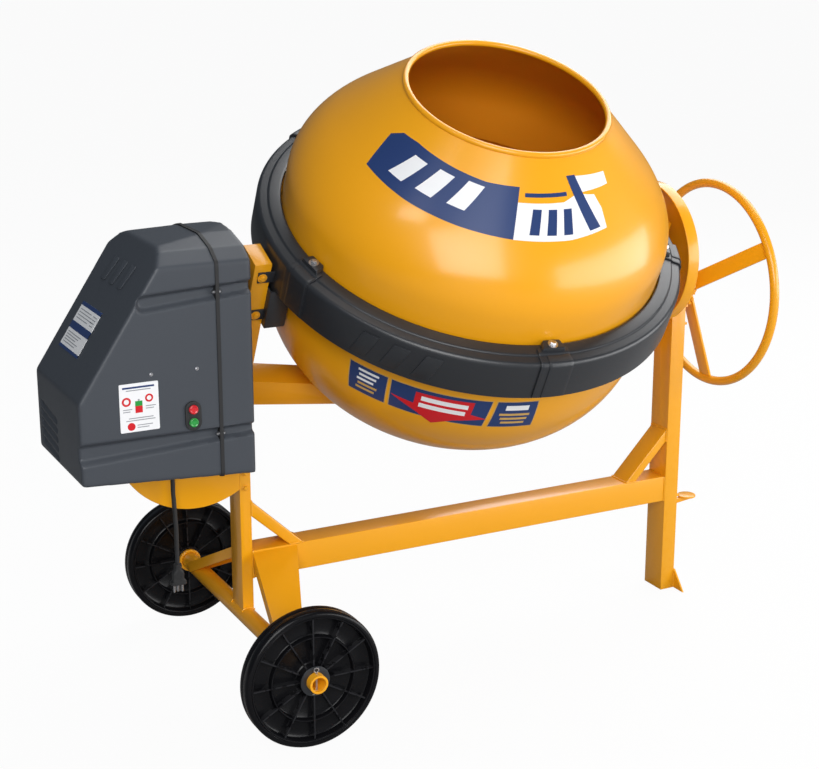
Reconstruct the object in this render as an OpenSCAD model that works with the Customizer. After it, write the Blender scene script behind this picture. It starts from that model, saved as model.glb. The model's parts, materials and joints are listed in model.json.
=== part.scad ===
// Tilting-drum concrete mixer on two wheels and a leg, in millimetres.
// X runs from the motor cover to the handwheel, Y across the wheels, Z up from the ground.
// Inside the modules X starts at the wheel axle and Y at the frame's middle plane.

/* [Running gear] */
// Radius of a road wheel
wheel_r = 157.5; // [130:0.5:190]
// Width of a road wheel
wheel_w = 45; // [35:1:60]
// Distance between the outer faces of the wheels
track = 832; // [780:1:900]
// Outer radius of the axle tube
axle_r = 21; // [18:0.5:24]
// Wall of the axle tube
axle_wall = 5; // [3:0.5:8]
// Length of axle that stands out past each wheel
axle_end = 23; // [20:1:35]

/* [Frame] */
// Height of the drum's tilting axis above the ground
pivot_z = 918.5; // [880:0.5:1050]
// Wall of the frame tubes
tube_wall = 3; // [2:0.5:5]
// Width of the main beam across the frame
beam_w = 68; // [55:1:72]
// Height of the main beam
beam_h = 67.4; // [50:0.1:80]
// Height of the main beam's underside
beam_z = 251.6; // [240:0.1:270]
// Size of the wheel post along the frame
post_l = 27; // [24:1:34]
// Size of the wheel post across the frame
post_w = 66; // [56:1:68]
// Size of the leg along the frame
leg_l = 40.3; // [32:0.1:55]
// Size of the leg across the frame
leg_w = 74; // [64:1:90]
// Spread of the foot plate at the ground
foot_w = 160; // [120:1:200]
// Thickness of the plates welded on the frame
plate_t = 5; // [4:1:8]

/* [Drum] */
// Outer radius of the drum's bowl
drum_r = 460; // [400:1:520]
// Depth of the bowl below the tilting axis
bowl_depth = 363; // [320:1:400]
// Height of the joint between bowl and cone above the tilting axis
joint_u = 110; // [100:1:125]
// Outer radius of the cone where it stands straight
cone_r = 447.7; // [430:0.1:450]
// Radius of the mouth under its bead
mouth_r = 230; // [190:1:270]
// Height of the mouth above the tilting axis
mouth_u = 487; // [460:1:520]
// Sheet thickness of the drum
drum_t = 3; // [2:0.5:4]
// Angle of the drum's axis from the vertical
tilt = 26.5; // [15:0.5:40]

/* [Drive] */
// Teeth of the ring gear round the drum
ring_teeth = 140; // [120:2:160]
// Teeth of the drive pinion
pinion_teeth = 12; // [11:1:14]
// Radius of the driven pulley
pulley_big_r = 108; // [90:1:112]
// Radius of the motor pulley
pulley_small_r = 36; // [30:1:44]
// Radius of the pinion shaft
shaft_r = 12.5; // [10:0.5:15]
// Radius of the motor's body
motor_r = 66; // [55:1:68]

/* [Tilting gear] */
// Drop of the handwheel shaft below the tilting axis
tilt_drop = 100; // [90:1:110]
// Teeth of the gear on the drum's yoke
tilt_teeth = 40; // [40:10:80]
// Radius of the handwheel, to the middle of its tube
hand_r = 258; // [220:1:280]
// Radius of the handwheel's tube
hand_tube_r = 11.4; // [9:0.1:14]
// Radius of the handwheel's shaft
hand_shaft_r = 15; // [12:0.5:16]
// Travel of the lock pin
lock_travel = 10; // [8:1:12]

/* [Motor cover] */
// Width of the motor cover across the frame
cover_w = 332; // [300:1:360]
// Length of the motor cover along the frame
cover_l = 392; // [370:1:420]
// Wall of the motor cover
cover_t = 4; // [3:0.5:6]

/* [Hidden] */
$fn = 64;

// Clearances
run_fit = 0.06; // radial, a shaft in its bearing
seat_fit = 0.05; // radial, a fixed piece on its seat
face_gap = 0.3; // between faces that slide past each other
bore_over = 1; // how far a cut runs past the face it opens

// Frame layout along X, from the wheel post to the leg
post_x0 = -12;
post_x1 = post_x0 + post_l;
arm_gap = 5;
arm_l = 40;
arm_x0 = post_x1 + arm_gap;
arm_x1 = arm_x0 + arm_l;
guard_t = 4;
guard_r = drum_r + 46;
guard_gap = 7.4;
drum_x = arm_x1 + guard_gap + guard_r;
arm_out = drum_x - arm_x0;
arm_in = drum_x - arm_x1;
disc_t = 4;
disc_x0 = drum_x + arm_out + 16.7;
disc_x1 = disc_x0 + disc_t;
disc_r = 177.3;
disc_depth = 27.5;
leg_x0 = disc_x1 + 30.2;
leg_x1 = leg_x0 + leg_l;

// Frame heights
axle_z = wheel_r;
beam_top = beam_z + beam_h;
leg_top = pivot_z + 46;
hand_z = pivot_z - tilt_drop;

// Wheel layout along Y
wheel_y1 = track / 2;
wheel_y0 = wheel_y1 - wheel_w;
wheel_rim = 17;
wheel_web = 6;
wheel_hub_r = axle_r + 13;
wheel_ring_r = 0.6 * wheel_r;
wheel_ribs = 12;
rib_t = 4;
axle_y = wheel_y1 + axle_end;
washer_t = 3;
washer_r = axle_r + 13;
collar_t = 9;
collar_r = axle_r + 7;
cotter_r = 2.5;
cotter_y = wheel_y1 + face_gap + washer_t + cotter_r + 3;

// Trunnions and bearings
trunnion_r = 30;
trunnion_x0 = post_x0 - 6;
bearing_r = 46;
bearing_over = 2;
stub_r = 20;
stub_bush_r = 26;
stub_nut_r = 28;
stub_nut_t = 10;
bush_flange = 3;
bush_flange_r = 34;
hand_bush_r = hand_shaft_r + 5;

// Drum outline
bowl_wall_u = -10; // the bowl's side is straight down to here
bowl_power = 2.16;
bowl_flat_r = 90;
bowl_steps = 18;
cone_slope_r = 369; // end of the straight cone
cone_slope_u = 356;
cone_side_u = 207; // the cone stands straight below here
bead_r = 7;
blade_t = 6;
blade_depth = 75;
blade_gap = 0.3;

// Yoke
arm_w = 76;
arm_top = 113;
arm_wall = 4;
arm_foot = -232;
yoke_w = 70;
yoke_wall = 4;
yoke_gap = 14;
beam_foot = 66; // depth of the yoke's beam at the foot of an arm
beam_knee = 0.5935; // where its underside bends, as a share of the drum's radius
beam_knee_h = 25;
beam_flat = 120; // from here its underside is nearly level
beam_flat_h = 47;
beam_mid_h = 52;
beam_step = 0.109; // steps of its top, as a share of the drum's radius
housing_r = 50;
housing_top = bowl_bottom() - 13;
housing_l = 99;
spindle_r = 22.5;
spindle_flange_r = 70;
spindle_flange_t = 10;
spindle_nut_r = 34;
spindle_nut_t = 14;

// Ring gear and pinion, a crown gear on a radial pinion
ring_pitch_r = drum_r + 16;
ring_module = 2 * ring_pitch_r / ring_teeth;
pinion_r = ring_module * pinion_teeth / 2;
ring_root_r = drum_r + 8;
ring_tip_r = drum_r + 30;
ring_tooth_w = 6.6;
ring_add = 4.2;
ring_plate_u = pinion_r + 7.2;
ring_plate_t = 8;
ring_plate_over = 1.5;
pinion_add = 4.2;
pinion_ded = 6.2;
gear_thin = 0.4; // taken off each side of a tooth, so the teeth run free
pressure = 20;
pinion_x0 = drum_x - ring_tip_r + 0.6;
pinion_w = 17;

// Gear guard round the drum
guard_u0 = 47;
guard_u1 = 138;
guard_lip_u = 152;
guard_lip_r = cone_r + 4.3;
guard_parts = 5;
guard_first = -94.5;
guard_split = 0.1;
clip_deg = 9;
clip_t = 4;
clip_seat = 0.1;
box_w = 112;
box_x1 = drum_x - drum_r - 3.4;
box_u0 = -56;
ring_room = 2; // between the ring gear and the pinion's guard
bracket_t = 4;

// Belt drive
belt_x0 = -82;
belt_w = 24;
belt_t = 9;
groove = 8;
motor_y = 50;
motor_z = pivot_z - 246.5;
motor_x0 = -372;
motor_x1 = -112;
motor_shaft_r = 12;
motor_plate_y0 = -post_w / 2;
motor_plate_arc = 194;
motor_plate_x = -112;
motor_plate_z = pivot_z - 278.5;

// Motor cover
cover_x1 = -22;
cover_x0 = cover_x1 - cover_l;
cover_split = -101;
cover_top = pivot_z + 168.5;
cover_ridge = 24; // fall of the roof towards the sloping end
cover_roof_l = 187;
cover_shoulder = 323;
cover_h = 524;
cover_rise = 30; // rise of the bottom towards the sloping end
crown_r = 300;
strap_w = 8;
strap_t = 3;
slot_fit = 0.5;
switch_x = -165;
switch_w = 36;
switch_l = 65;
switch_z = pivot_z - 210;
button_r = 10;
button_gap = 29;
button_proud = 4.5;
button_l = 19;
switch_t = 5;
screw_r = 4;

// Lead from the motor cover to its plug
cord_r = 5;
cord_sides = 10;
gland_r = 9;
gland_l = 14;
cord_points = [[-184, -70, 558], [-184, -70, 550], [-184, -70, 540], [-184, -70, 528], [-184, -70, 516],
    [-184, -70, 502], [-183, -70, 488], [-183, -71, 474], [-182, -71, 460], [-182, -72, 444],
    [-181, -72, 428], [-181, -72, 412], [-181, -72, 396], [-181, -72, 380], [-181, -72, 364],
    [-181, -72, 350], [-181, -72, 338]];
plug_l = 50;
plug_w = 34;
plug_t = 18;
pin_l = 19;
pin_r = 2.4;
pin_gap = 9.5;

// Handwheel, its gears and its lock
hand_x = leg_x1 + 103;
hand_hub_x0 = leg_x1 + 18;
hand_hub_x1 = leg_x1 + 44;
hand_hub_r = 24;
spoke_w = 42;
spoke_t = 6;
spoke_root_x = leg_x1 + 28;
gear_module = 2 * tilt_drop / (tilt_teeth + hand_teeth());
tilt_add = 2.4;
tilt_ded = 5.2;
hand_add = 4;
hand_ded = 3.4;
tilt_gear_w = 18;
hand_pinion_w = 16;
lock_x0 = leg_x1 + 6;
lock_w = 8;
lock_r = 56;
lock_notches = 20;
lock_notch_w = 11.6;
lock_notch = 12;
rod_r = 6;
rod_pin_r = 4;
rod_x = lock_x0 + lock_w / 2;
rod_foot = 238;
rod_pin_l = 24;
pin_gap_up = 0.6;
rod_collar_z = 336;
rod_collar_r = 9.4;
travel_gap = 0.5;
guide_low = rod_foot + lock_travel + travel_gap;
guide_high = hand_z - 100;
guide_t = 6;
guide_w = 30;
pedal_r = 24;
pedal_t = 5;
pedal_x = rod_x + 48;
pedal_arm_w = 10;
pedal_arm_h = 16;
spring_r = 9.4;
spring_wire = 1.6;
spring_turns = 14;

// Extents, which set the origin at the middle of the footprint
end_x = hand_x + hand_tube_r;
front_y = -((guard_u1 + 1) * sin(tilt) + (guard_r + clip_t) * cos(tilt));
rear_y = max([for (p = bowl_line(0)) p[0] * cos(tilt) - p[1] * sin(tilt)]);
origin_x = (cover_x0 + end_x) / 2;
origin_y = (front_y + max(rear_y, axle_y)) / 2;

// Shapes worked out by rule

function hand_teeth() = tilt_teeth / 4;

// Height of the bowl's outside at radius r, grown inwards by t
function bowl_at(r, t = 0) = let (q = min(1, r / (drum_r - t)))
    bowl_wall_u - (bowl_depth + bowl_wall_u - t) * pow(1 - pow(q, bowl_power), 1 / bowl_power);
function bowl_bottom(t = 0) = bowl_at(bowl_flat_r, t);

// Height of the cover's underside at x
function cover_floor(x) = cover_top - cover_h + cover_rise * (cover_x1 - x) / cover_l;

// The bowl's curved side as points of radius and height, from its flat bottom to its straight wall
function bowl_line(t) = [for (i = [0:bowl_steps]) let (
    r = bowl_flat_r + (drum_r - t - bowl_flat_r) * sin(90 * i / bowl_steps)) [r, bowl_at(r, t)]];

// The cone's shoulder, a curve from the straight cone to the straight side
function shoulder(t) = let (
    corner_u = cone_slope_u - (cone_r - cone_slope_r) * (mouth_u - cone_slope_u) / (cone_slope_r - mouth_r))
    [for (i = [0:8]) let (s = i / 8)
        (1 - s) * (1 - s) * [cone_slope_r - t, cone_slope_u - t / 2]
        + 2 * s * (1 - s) * [cone_r - t, corner_u - t / 2]
        + s * s * [cone_r - t, cone_side_u]];

// A convex outline, drawn anticlockwise, moved inwards by g
function inset(p, g) = [for (i = [0:len(p) - 1]) let (
    a = p[(i + len(p) - 1) % len(p)], b = p[i], c = p[(i + 1) % len(p)],
    d = (b - a) / norm(b - a), e = (c - b) / norm(c - b),
    m = [-d[1], d[0]], n = [-e[1], e[0]]) b + g * (m + n) / (1 + m * n)];

function involute(a) = tan(a) * 180 / PI - a;

// Half the angle that a tooth spans at radius q
function half_tooth(n, r, q) = let (base = r * cos(pressure))
    90 / n - gear_thin / r * 180 / PI + involute(pressure) - involute(acos(min(1, base / q)));

// One flank of a tooth, as points of radius and half angle
function flank(n, r, add, ded) = let (base = r * cos(pressure), foot = max(base, r - ded))
    concat(base > r - ded ? [[r - ded, half_tooth(n, r, base)]] : [],
        [for (i = [0:4]) let (q = foot + (r + add - foot) * i / 4) [q, half_tooth(n, r, q)]]);

function gear_line(n, r, add, ded) = let (f = flank(n, r, add, ded), last = len(f) - 1)
    [for (k = [0:n - 1], j = [0:2 * last + 1]) let (
        up = j <= last, p = f[up ? j : 2 * last + 1 - j], a = 360 * k / n + (up ? -p[1] : p[1]))
        p[0] * [cos(a), sin(a)]];

// A disc's outline with n square teeth of width w, or square notches between them
function toothed(n, root, tip, w) = [for (k = [0:n - 1], j = [0:3]) let (
    q = j == 0 || j == 3 ? root : tip, a = 360 * k / n + (j < 2 ? -1 : 1) * asin(w / 2 / q))
    q * [cos(a), sin(a)]];

// The ring of points round one station of a swept line
function ring_at(p, i, r, n) = let (
    t = p[min(i + 1, len(p) - 1)] - p[max(i - 1, 0)], d = t / norm(t),
    a = cross(d, [0, 1, 0]) / norm(cross(d, [0, 1, 0])), b = cross(d, a))
    [for (k = [0:n - 1]) p[i] + r * (cos(360 * k / n) * a + sin(360 * k / n) * b)];

// Helpers

module place() {
    translate([-origin_x, -origin_y, 0]) children();
}

// The drum's own frame, with its origin on the tilting axis and Z along the drum's axis
module tilted() {
    place() translate([drum_x, 0, pivot_z]) rotate([tilt, 0, 0]) children();
}

module rod_along_x(x0, x1, r) {
    translate([x0, 0, 0]) rotate([0, 90, 0]) cylinder(h = x1 - x0, r = r);
}

module tube_along_x(x0, x1, r, bore) {
    difference() {
        rod_along_x(x0, x1, r);
        rod_along_x(x0 - bore_over, x1 + bore_over, bore);
    }
}

module tube_along_y(y0, y1, r, bore) {
    translate([0, y0, 0]) rotate([-90, 0, 0]) difference() {
        cylinder(h = y1 - y0, r = r);
        translate([0, 0, -bore_over]) cylinder(h = y1 - y0 + 2 * bore_over, r = bore);
    }
}

module block(lo, hi) {
    translate(lo) cube(hi - lo);
}

// An outline in the XZ plane, w wide across Y
module slab(outline, w) {
    translate([0, w / 2, 0]) rotate([90, 0, 0]) linear_extrude(w) polygon(outline);
}

// A flat outline, drawn in YZ, as a plate along X
module plate_along_x(x0, w, outline) {
    translate([x0, 0, 0]) rotate([90, 0, 90]) linear_extrude(w) polygon(outline);
}

module both_sides() {
    children();
    mirror([0, 1, 0]) children();
}

module sweep(p, r, n) {
    rings = [for (i = [0:len(p) - 1]) ring_at(p, i, r, n)];
    last = len(p) - 1;
    polyhedron(
        points = [for (ring = rings, q = ring) q],
        faces = concat(
            [[for (k = [0:n - 1]) k]],
            [for (i = [0:last - 1], k = [0:n - 1]) let (j = (k + 1) % n)
                [i * n + k, (i + 1) * n + k, (i + 1) * n + j, i * n + j]],
            [[for (k = [n - 1:-1:0]) last * n + k]]));
}

// Frame

module main_beam() {
    color("orange") place() difference() {
        block([post_x1, -beam_w / 2, beam_z], [leg_x0, beam_w / 2, beam_top]);
        block([post_x1 - bore_over, tube_wall - beam_w / 2, beam_z + tube_wall],
            [leg_x0 + bore_over, beam_w / 2 - tube_wall, beam_top - tube_wall]);
    }
}

module axle_cut() {
    translate([0, 0, axle_z]) rotate([90, 0, 0]) cylinder(h = 2 * axle_y, r = axle_r + seat_fit, center = true);
}

module wheel_post() {
    color("orange") place() difference() {
        block([post_x0, -post_w / 2, axle_z], [post_x1, post_w / 2, pivot_z]);
        block([post_x0 + tube_wall, tube_wall - post_w / 2, axle_z - bore_over],
            [post_x1 - tube_wall, post_w / 2 - tube_wall, pivot_z + bore_over]);
        axle_cut();
        translate([0, 0, pivot_z])
            rod_along_x(post_x0 - bore_over, post_x1 + bore_over, bearing_r + seat_fit);
    }
}

module leg_post() {
    color("orange") place() difference() {
        block([leg_x0, -leg_w / 2, 0], [leg_x1, leg_w / 2, leg_top]);
        block([leg_x0 + tube_wall, tube_wall - leg_w / 2, -bore_over],
            [leg_x1 - tube_wall, leg_w / 2 - tube_wall, leg_top + bore_over]);
        translate([0, 0, pivot_z])
            rod_along_x(leg_x0 - bore_over, leg_x1 + bore_over, stub_bush_r + seat_fit);
        translate([0, 0, hand_z])
            rod_along_x(leg_x0 - bore_over, leg_x1 + bore_over, hand_bush_r + seat_fit);
    }
}

// A flat tube that slopes between two upright faces, as the outline of its side
module brace_tube(outline, w) {
    difference() {
        slab(outline, w);
        slab(inset(outline, tube_wall), w - 2 * tube_wall);
    }
}

brace_w = 66;
leg_brace_l = 121.7;
leg_brace_rise = 129;
leg_brace_foot = 31;
leg_brace_depth = 33;

module leg_brace() {
    color("orange") place() brace_tube([
        [leg_x0 - leg_brace_l, beam_top], [leg_x0 - leg_brace_l + leg_brace_foot, beam_top],
        [leg_x0, beam_top + leg_brace_rise - leg_brace_depth], [leg_x0, beam_top + leg_brace_rise]], brace_w);
}

post_brace_l = 129;
post_brace_rise = 122;
post_brace_foot = 36;
post_brace_depth = 37;

module post_brace() {
    color("orange") place() brace_tube([
        [post_x1, beam_top + post_brace_rise - post_brace_depth],
        [post_x1 + post_brace_l - post_brace_foot, beam_top], [post_x1 + post_brace_l, beam_top],
        [post_x1, beam_top + post_brace_rise]], post_w);
}

gusset_y = 300; // where the gusset meets the axle
gusset_top_l = 111;
gusset_foot_l = 55;
gusset_lip = 24;

// A sloping plate from the beam's side down to the axle, with its edges folded down
module gusset() {
    y0 = beam_w / 2 + face_gap;
    run = gusset_y - y0;
    fall = beam_top - 4 - axle_z - axle_r;
    slope = atan(fall / run);
    length = norm([run, fall]);
    lean = gusset_foot_l / 2 + post_x1 + 1;
    difference() {
        translate([post_x1 + 1, y0, beam_top - 4]) rotate([-slope, 0, 0]) union() {
            translate([0, 0, -plate_t]) linear_extrude(plate_t) polygon([[0, 0], [gusset_top_l, 0],
                [gusset_foot_l - lean, length], [-lean, length]]);
            translate([0, 0, -gusset_lip]) linear_extrude(gusset_lip) polygon([[0, 0], [plate_t, 0],
                [plate_t - lean, length], [-lean, length]]);
            translate([0, 0, -gusset_lip]) linear_extrude(gusset_lip) polygon([
                [gusset_top_l - plate_t, 0], [gusset_top_l, 0],
                [gusset_foot_l - lean, length], [gusset_foot_l - lean - plate_t, length]]);
        }
        axle_cut();
        block([-2 * post_l, 0, 0], [gusset_top_l + 2 * post_l, y0, beam_top]);
    }
}

module axle_gussets() {
    color("orange") place() both_sides() gusset();
}

module axle_tube() {
    color("orange") place() translate([0, 0, axle_z]) difference() {
        tube_along_y(-axle_y, axle_y, axle_r, axle_r - axle_wall);
        both_sides() translate([0, cotter_y, -axle_r - bore_over])
            cylinder(h = 2 * (axle_r + bore_over), r = cotter_r + seat_fit);
    }
}

foot_h = 52;

module foot_plate() {
    color("orange") place() plate_along_x(leg_x1, plate_t, [[-foot_w / 2, 0], [foot_w / 2, 0],
        [leg_w / 2, foot_h], [-leg_w / 2, foot_h]]);
}

module trunnion_bearings() {
    color("dimgray") place() translate([0, 0, pivot_z]) {
        tube_along_x(post_x0 - bearing_over, post_x1 + bearing_over, bearing_r, trunnion_r + run_fit);
        tube_along_x(leg_x0 - bush_flange / 2, leg_x1, stub_bush_r, stub_r + run_fit);
        tube_along_x(leg_x1, leg_x1 + bush_flange, bush_flange_r, stub_r + run_fit);
    }
}

module handwheel_bushes() {
    color("dimgray") place() translate([0, 0, hand_z])
        tube_along_x(leg_x0 - bush_flange / 2, leg_x1 + bush_flange / 2, hand_bush_r, hand_shaft_r + run_fit);
}

module axle_collars() {
    color("orange") place() translate([0, 0, axle_z]) both_sides()
        tube_along_y(wheel_y0 - face_gap - collar_t, wheel_y0 - face_gap, collar_r, axle_r + seat_fit);
}

module axle_washers() {
    color("silver") place() translate([0, 0, axle_z]) both_sides()
        tube_along_y(wheel_y1 + face_gap, wheel_y1 + face_gap + washer_t, washer_r, axle_r + seat_fit);
}

cotter_over = 8;

module cotter_pins() {
    color("silver") place() both_sides() translate([0, cotter_y, axle_z - axle_r - cotter_over])
        cylinder(h = 2 * (axle_r + cotter_over), r = cotter_r);
}

// Wheels

module wheel() {
    difference() {
        union() {
            rotate_extrude($fn = 96) difference() {
                translate([axle_r, 0]) square([wheel_r - axle_r, wheel_w]);
                for (far = [false, true]) translate([0, far ? wheel_w / 2 + wheel_web / 2 : -bore_over]) {
                    depth = wheel_w / 2 - wheel_web / 2 + bore_over;
                    translate([wheel_hub_r, 0]) square([wheel_ring_r - wheel_hub_r, depth]);
                    translate([wheel_ring_r + rib_t, 0])
                        square([wheel_r - wheel_rim - wheel_ring_r - rib_t, depth]);
                }
            }
            for (k = [0:wheel_ribs - 1]) rotate([0, 0, 360 * k / wheel_ribs])
                block([axle_r + rib_t, -rib_t / 2, rib_t], [wheel_r - wheel_rim + rib_t, rib_t / 2, wheel_w - rib_t]);
        }
        translate([0, 0, -bore_over]) cylinder(h = wheel_w + 2 * bore_over, r = axle_r + run_fit);
    }
}

module wheel_front() {
    color("black") place() translate([0, -wheel_y0, axle_z]) rotate([90, 0, 0]) wheel();
}

module wheel_rear() {
    color("black") place() translate([0, wheel_y1, axle_z]) rotate([90, 0, 0]) wheel();
}

// Motor, belt and motor cover

module motor_plate() {
    color("orange") place() translate([0, motor_plate_y0 + plate_t, 0]) rotate([90, 0, 0]) linear_extrude(plate_t)
        intersection() {
            union() {
                translate([motor_plate_x, motor_plate_z]) circle(r = motor_plate_arc, $fn = 96);
                translate([motor_x0 + 32, motor_plate_z - 40]) square([210, motor_r + 72]);
            }
            polygon([[motor_x0 + 32, motor_plate_z - 2 * motor_plate_arc],
                [post_x0, motor_plate_z - 2 * motor_plate_arc], [post_x0, motor_plate_z - 10],
                [belt_x0 - 24, motor_plate_z - 10], [belt_x0 - 24, motor_z + motor_r],
                [motor_x0 + 32, motor_z + motor_r]]);
        }
}

foot_l = 150;
fan_l = 60;

module motor_body() {
    motor_foot_y = motor_plate_y0 + plate_t;
    color("gray") place() difference() {
        union() {
            translate([0, motor_y, motor_z]) {
                rod_along_x(motor_x0 + fan_l, motor_x1, motor_r);
                rod_along_x(motor_x0, motor_x0 + fan_l + bore_over, motor_r - 6);
            }
            block([(motor_x0 + motor_x1 - foot_l) / 2 + 20, motor_foot_y, motor_z - motor_r * 0.8],
                [(motor_x0 + motor_x1 + foot_l) / 2 + 20, motor_y, motor_z + motor_r * 0.8]);
        }
        translate([0, motor_y, motor_z]) rod_along_x(motor_x1 - 30, motor_x1 + bore_over, motor_shaft_r + run_fit);
    }
}

// A grooved pulley along X
module pulley(r, bore) {
    translate([belt_x0, 0, 0]) rotate([0, 90, 0]) rotate_extrude($fn = 96) polygon([
        [bore, 0], [r, 0], [r, 4], [r - groove, 8], [r - groove, belt_w - 8], [r, belt_w - 4], [r, belt_w],
        [bore, belt_w]]);
}

module motor_pulley() {
    color("gray") place() translate([0, motor_y, motor_z]) {
        pulley(pulley_small_r, motor_shaft_r - 1);
        rod_along_x(motor_x1 - 28, belt_x0 + belt_w + 4, motor_shaft_r);
    }
}

module driven_pulley() {
    color("gray") place() translate([0, 0, pivot_z]) pulley(pulley_big_r, shaft_r + seat_fit);
}

// The belt's loop round both pulleys, as tangent lines joined by arcs
module belt_loop(grow) {
    span = norm([motor_y, pivot_z - motor_z]);
    lean = atan(motor_y / (pivot_z - motor_z));
    big = pulley_big_r - groove + face_gap + grow;
    small = pulley_small_r - groove + face_gap + grow;
    a = acos((big - small) / span);
    translate([0, pivot_z]) rotate(lean - 180) union() {
        circle(r = big, $fn = 96);
        translate([0, span]) circle(r = small, $fn = 96);
        polygon([[big * sin(a), big * cos(a)], [small * sin(a), span + small * cos(a)],
            [-small * sin(a), span + small * cos(a)], [-big * sin(a), big * cos(a)]]);
    }
}

module drive_belt() {
    color("black") place() translate([belt_x0 + 8 + face_gap, 0, 0]) rotate([90, 0, 90])
        linear_extrude(belt_w - 16 - 2 * face_gap) difference() {
            belt_loop(groove - face_gap);
            belt_loop(0);
        }
}

cover_side = [[cover_x1, cover_top - cover_h], [cover_x1, cover_top], [cover_x1 - cover_roof_l, cover_top - cover_ridge],
    [cover_x0, cover_top - cover_shoulder], [cover_x0, cover_top - cover_h + cover_rise]];

module cover_shell() {
    difference() {
        cover_part(0);
        cover_part(cover_t);
    }
}

// The cover below the crown's middle is a plain box, so the crown trims only its roof
module cover_part(g) {
    intersection() {
        slab(inset(cover_side, g), cover_w - 2 * g);
        union() {
            translate([0, 0, cover_top - crown_r]) rod_along_x(cover_x0 - 10, cover_x1 + 10, crown_r - g);
            block([cover_x0 - 10, -cover_w, 0], [cover_x1 + 10, cover_w, cover_top - crown_r]);
        }
    }
}

// The slot in the cover's floor that the motor plate stands in
module plate_slot() {
    block([motor_plate_x - motor_plate_arc, motor_plate_y0 - slot_fit, 0],
        [post_x0, motor_plate_y0 + plate_t + slot_fit, motor_plate_z]);
}

module cover_cuts() {
    plate_slot();
    translate([0, 0, pivot_z]) rod_along_x(cover_x1 - 2 * cover_t, cover_x1 + bore_over, shaft_r + 8);
    block([switch_x - switch_w / 2 + 3 - face_gap, -cover_w, switch_z - switch_l / 2 + 5 - face_gap],
        [switch_x + switch_w / 2 - 3 + face_gap, 0, switch_z + switch_l / 2 - 5 + face_gap]);
    translate([cord_points[0][0], cord_points[0][1], 0]) cylinder(h = motor_z - motor_r, r = gland_r);
}

module cover_outer() {
    color([0.22, 0.23, 0.25]) place() difference() {
        cover_shell();
        cover_cuts();
        block([cover_split, -cover_w, 0], [cover_x1 + 10, cover_w, 2 * pivot_z]);
    }
}

module cover_inner() {
    color([0.22, 0.23, 0.25]) place() difference() {
        cover_shell();
        cover_cuts();
        block([cover_x0 - 10, -cover_w, 0], [cover_split, cover_w, 2 * pivot_z]);
    }
}

module seam_strap() {
    color("black") place() difference() {
        intersection() {
            cover_part(-strap_t);
            block([cover_split - strap_w / 2, -cover_w, 0], [cover_split + strap_w / 2, cover_w, 2 * pivot_z]);
        }
        cover_part(-seat_fit);
        plate_slot();
    }
}

screw_drop = [104, 424];
screw_out = 12;
screw_head = 3;

module cover_screws() {
    color("silver") place() for (drop = screw_drop, side = [-1, 1])
        translate([cover_split + side * screw_out, -cover_w / 2 - screw_head, cover_top - drop]) rotate([-90, 0, 0])
            cylinder(h = screw_head, r = screw_r);
}

module capsule(w, l, depth) {
    translate([0, depth, 0]) rotate([90, 0, 0]) linear_extrude(depth) union() {
        square([w, l - w], center = true);
        translate([0, (l - w) / 2]) circle(d = w);
        translate([0, (w - l) / 2]) circle(d = w);
    }
}

module switch_box() {
    color("black") place() translate([switch_x, -cover_w / 2, switch_z]) difference() {
        union() {
            translate([0, -switch_t, 0]) capsule(switch_w, switch_l, switch_t);
            block([3 - switch_w / 2, 0, 5 - switch_l / 2], [switch_w / 2 - 3, 46, switch_l / 2 - 5]);
        }
        for (side = [-1, 1]) translate([0, -switch_t - bore_over, side * button_gap / 2]) rotate([-90, 0, 0])
            cylinder(h = switch_t + button_l + 6, r = button_r + face_gap);
    }
}

module button(side) {
    translate([switch_x, -cover_w / 2 - switch_t - button_proud, switch_z + side * button_gap / 2])
        rotate([-90, 0, 0]) cylinder(h = button_l, r = button_r);
}

module start_button() {
    color("green") place() button(-1);
}

module stop_button() {
    color("red") place() button(1);
}

module cord_gland() {
    exit = cord_points[0];
    color("black") place() translate([exit[0], exit[1], 0]) union() {
        translate([0, 0, exit[2]]) cylinder(h = gland_l, r1 = cord_r + 2, r2 = gland_r - face_gap);
        translate([0, 0, exit[2] + gland_l]) cylinder(h = cover_floor(exit[0]) + cover_t + 3 - exit[2] - gland_l,
            r = gland_r - face_gap);
    }
}

module power_cord() {
    color("black") place() sweep(cord_points, cord_r, cord_sides);
}

module plug_body() {
    end = cord_points[len(cord_points) - 1];
    color("black") place() translate([end[0], end[1], end[2] - plug_l]) union() {
        translate([0, 0, 8]) block([-plug_w / 2, -plug_t / 2, 0], [plug_w / 2, plug_t / 2, plug_l - 26]);
        cylinder(h = plug_l, r = plug_t / 2);
        translate([-plug_w / 2 - 2, -plug_t / 2 - 1, 0]) cube([plug_w + 4, plug_t + 2, 8]);
    }
}

module plug_pins() {
    end = cord_points[len(cord_points) - 1];
    color("silver") place() for (k = [-1:1])
        translate([end[0] + k * pin_gap, end[1] + (k == 0 ? 3 : 0), end[2] - plug_l - pin_l]) cylinder(h = pin_l, r = pin_r);
}

// Handwheel, tilting gear and pedal lock

module handwheel() {
    drop = hand_r - hand_hub_r + 4;
    lean = atan((hand_x - spoke_root_x) / drop);
    color("orange") place() translate([0, 0, hand_z]) union() {
        translate([hand_x, 0, 0]) rotate([0, 90, 0]) rotate_extrude($fn = 128)
            translate([hand_r, 0]) circle(r = hand_tube_r, $fn = 32);
        tube_along_x(hand_hub_x0, hand_hub_x1, hand_hub_r, hand_shaft_r + seat_fit);
        for (k = [0:2]) rotate([120 * k, 0, 0]) translate([spoke_root_x, 0, -hand_hub_r + 4])
            rotate([0, -lean, 0])
                translate([-spoke_t / 2, -spoke_w / 2, -norm([drop, hand_x - spoke_root_x])])
                    cube([spoke_t, spoke_w, norm([drop, hand_x - spoke_root_x])]);
    }
}

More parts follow.
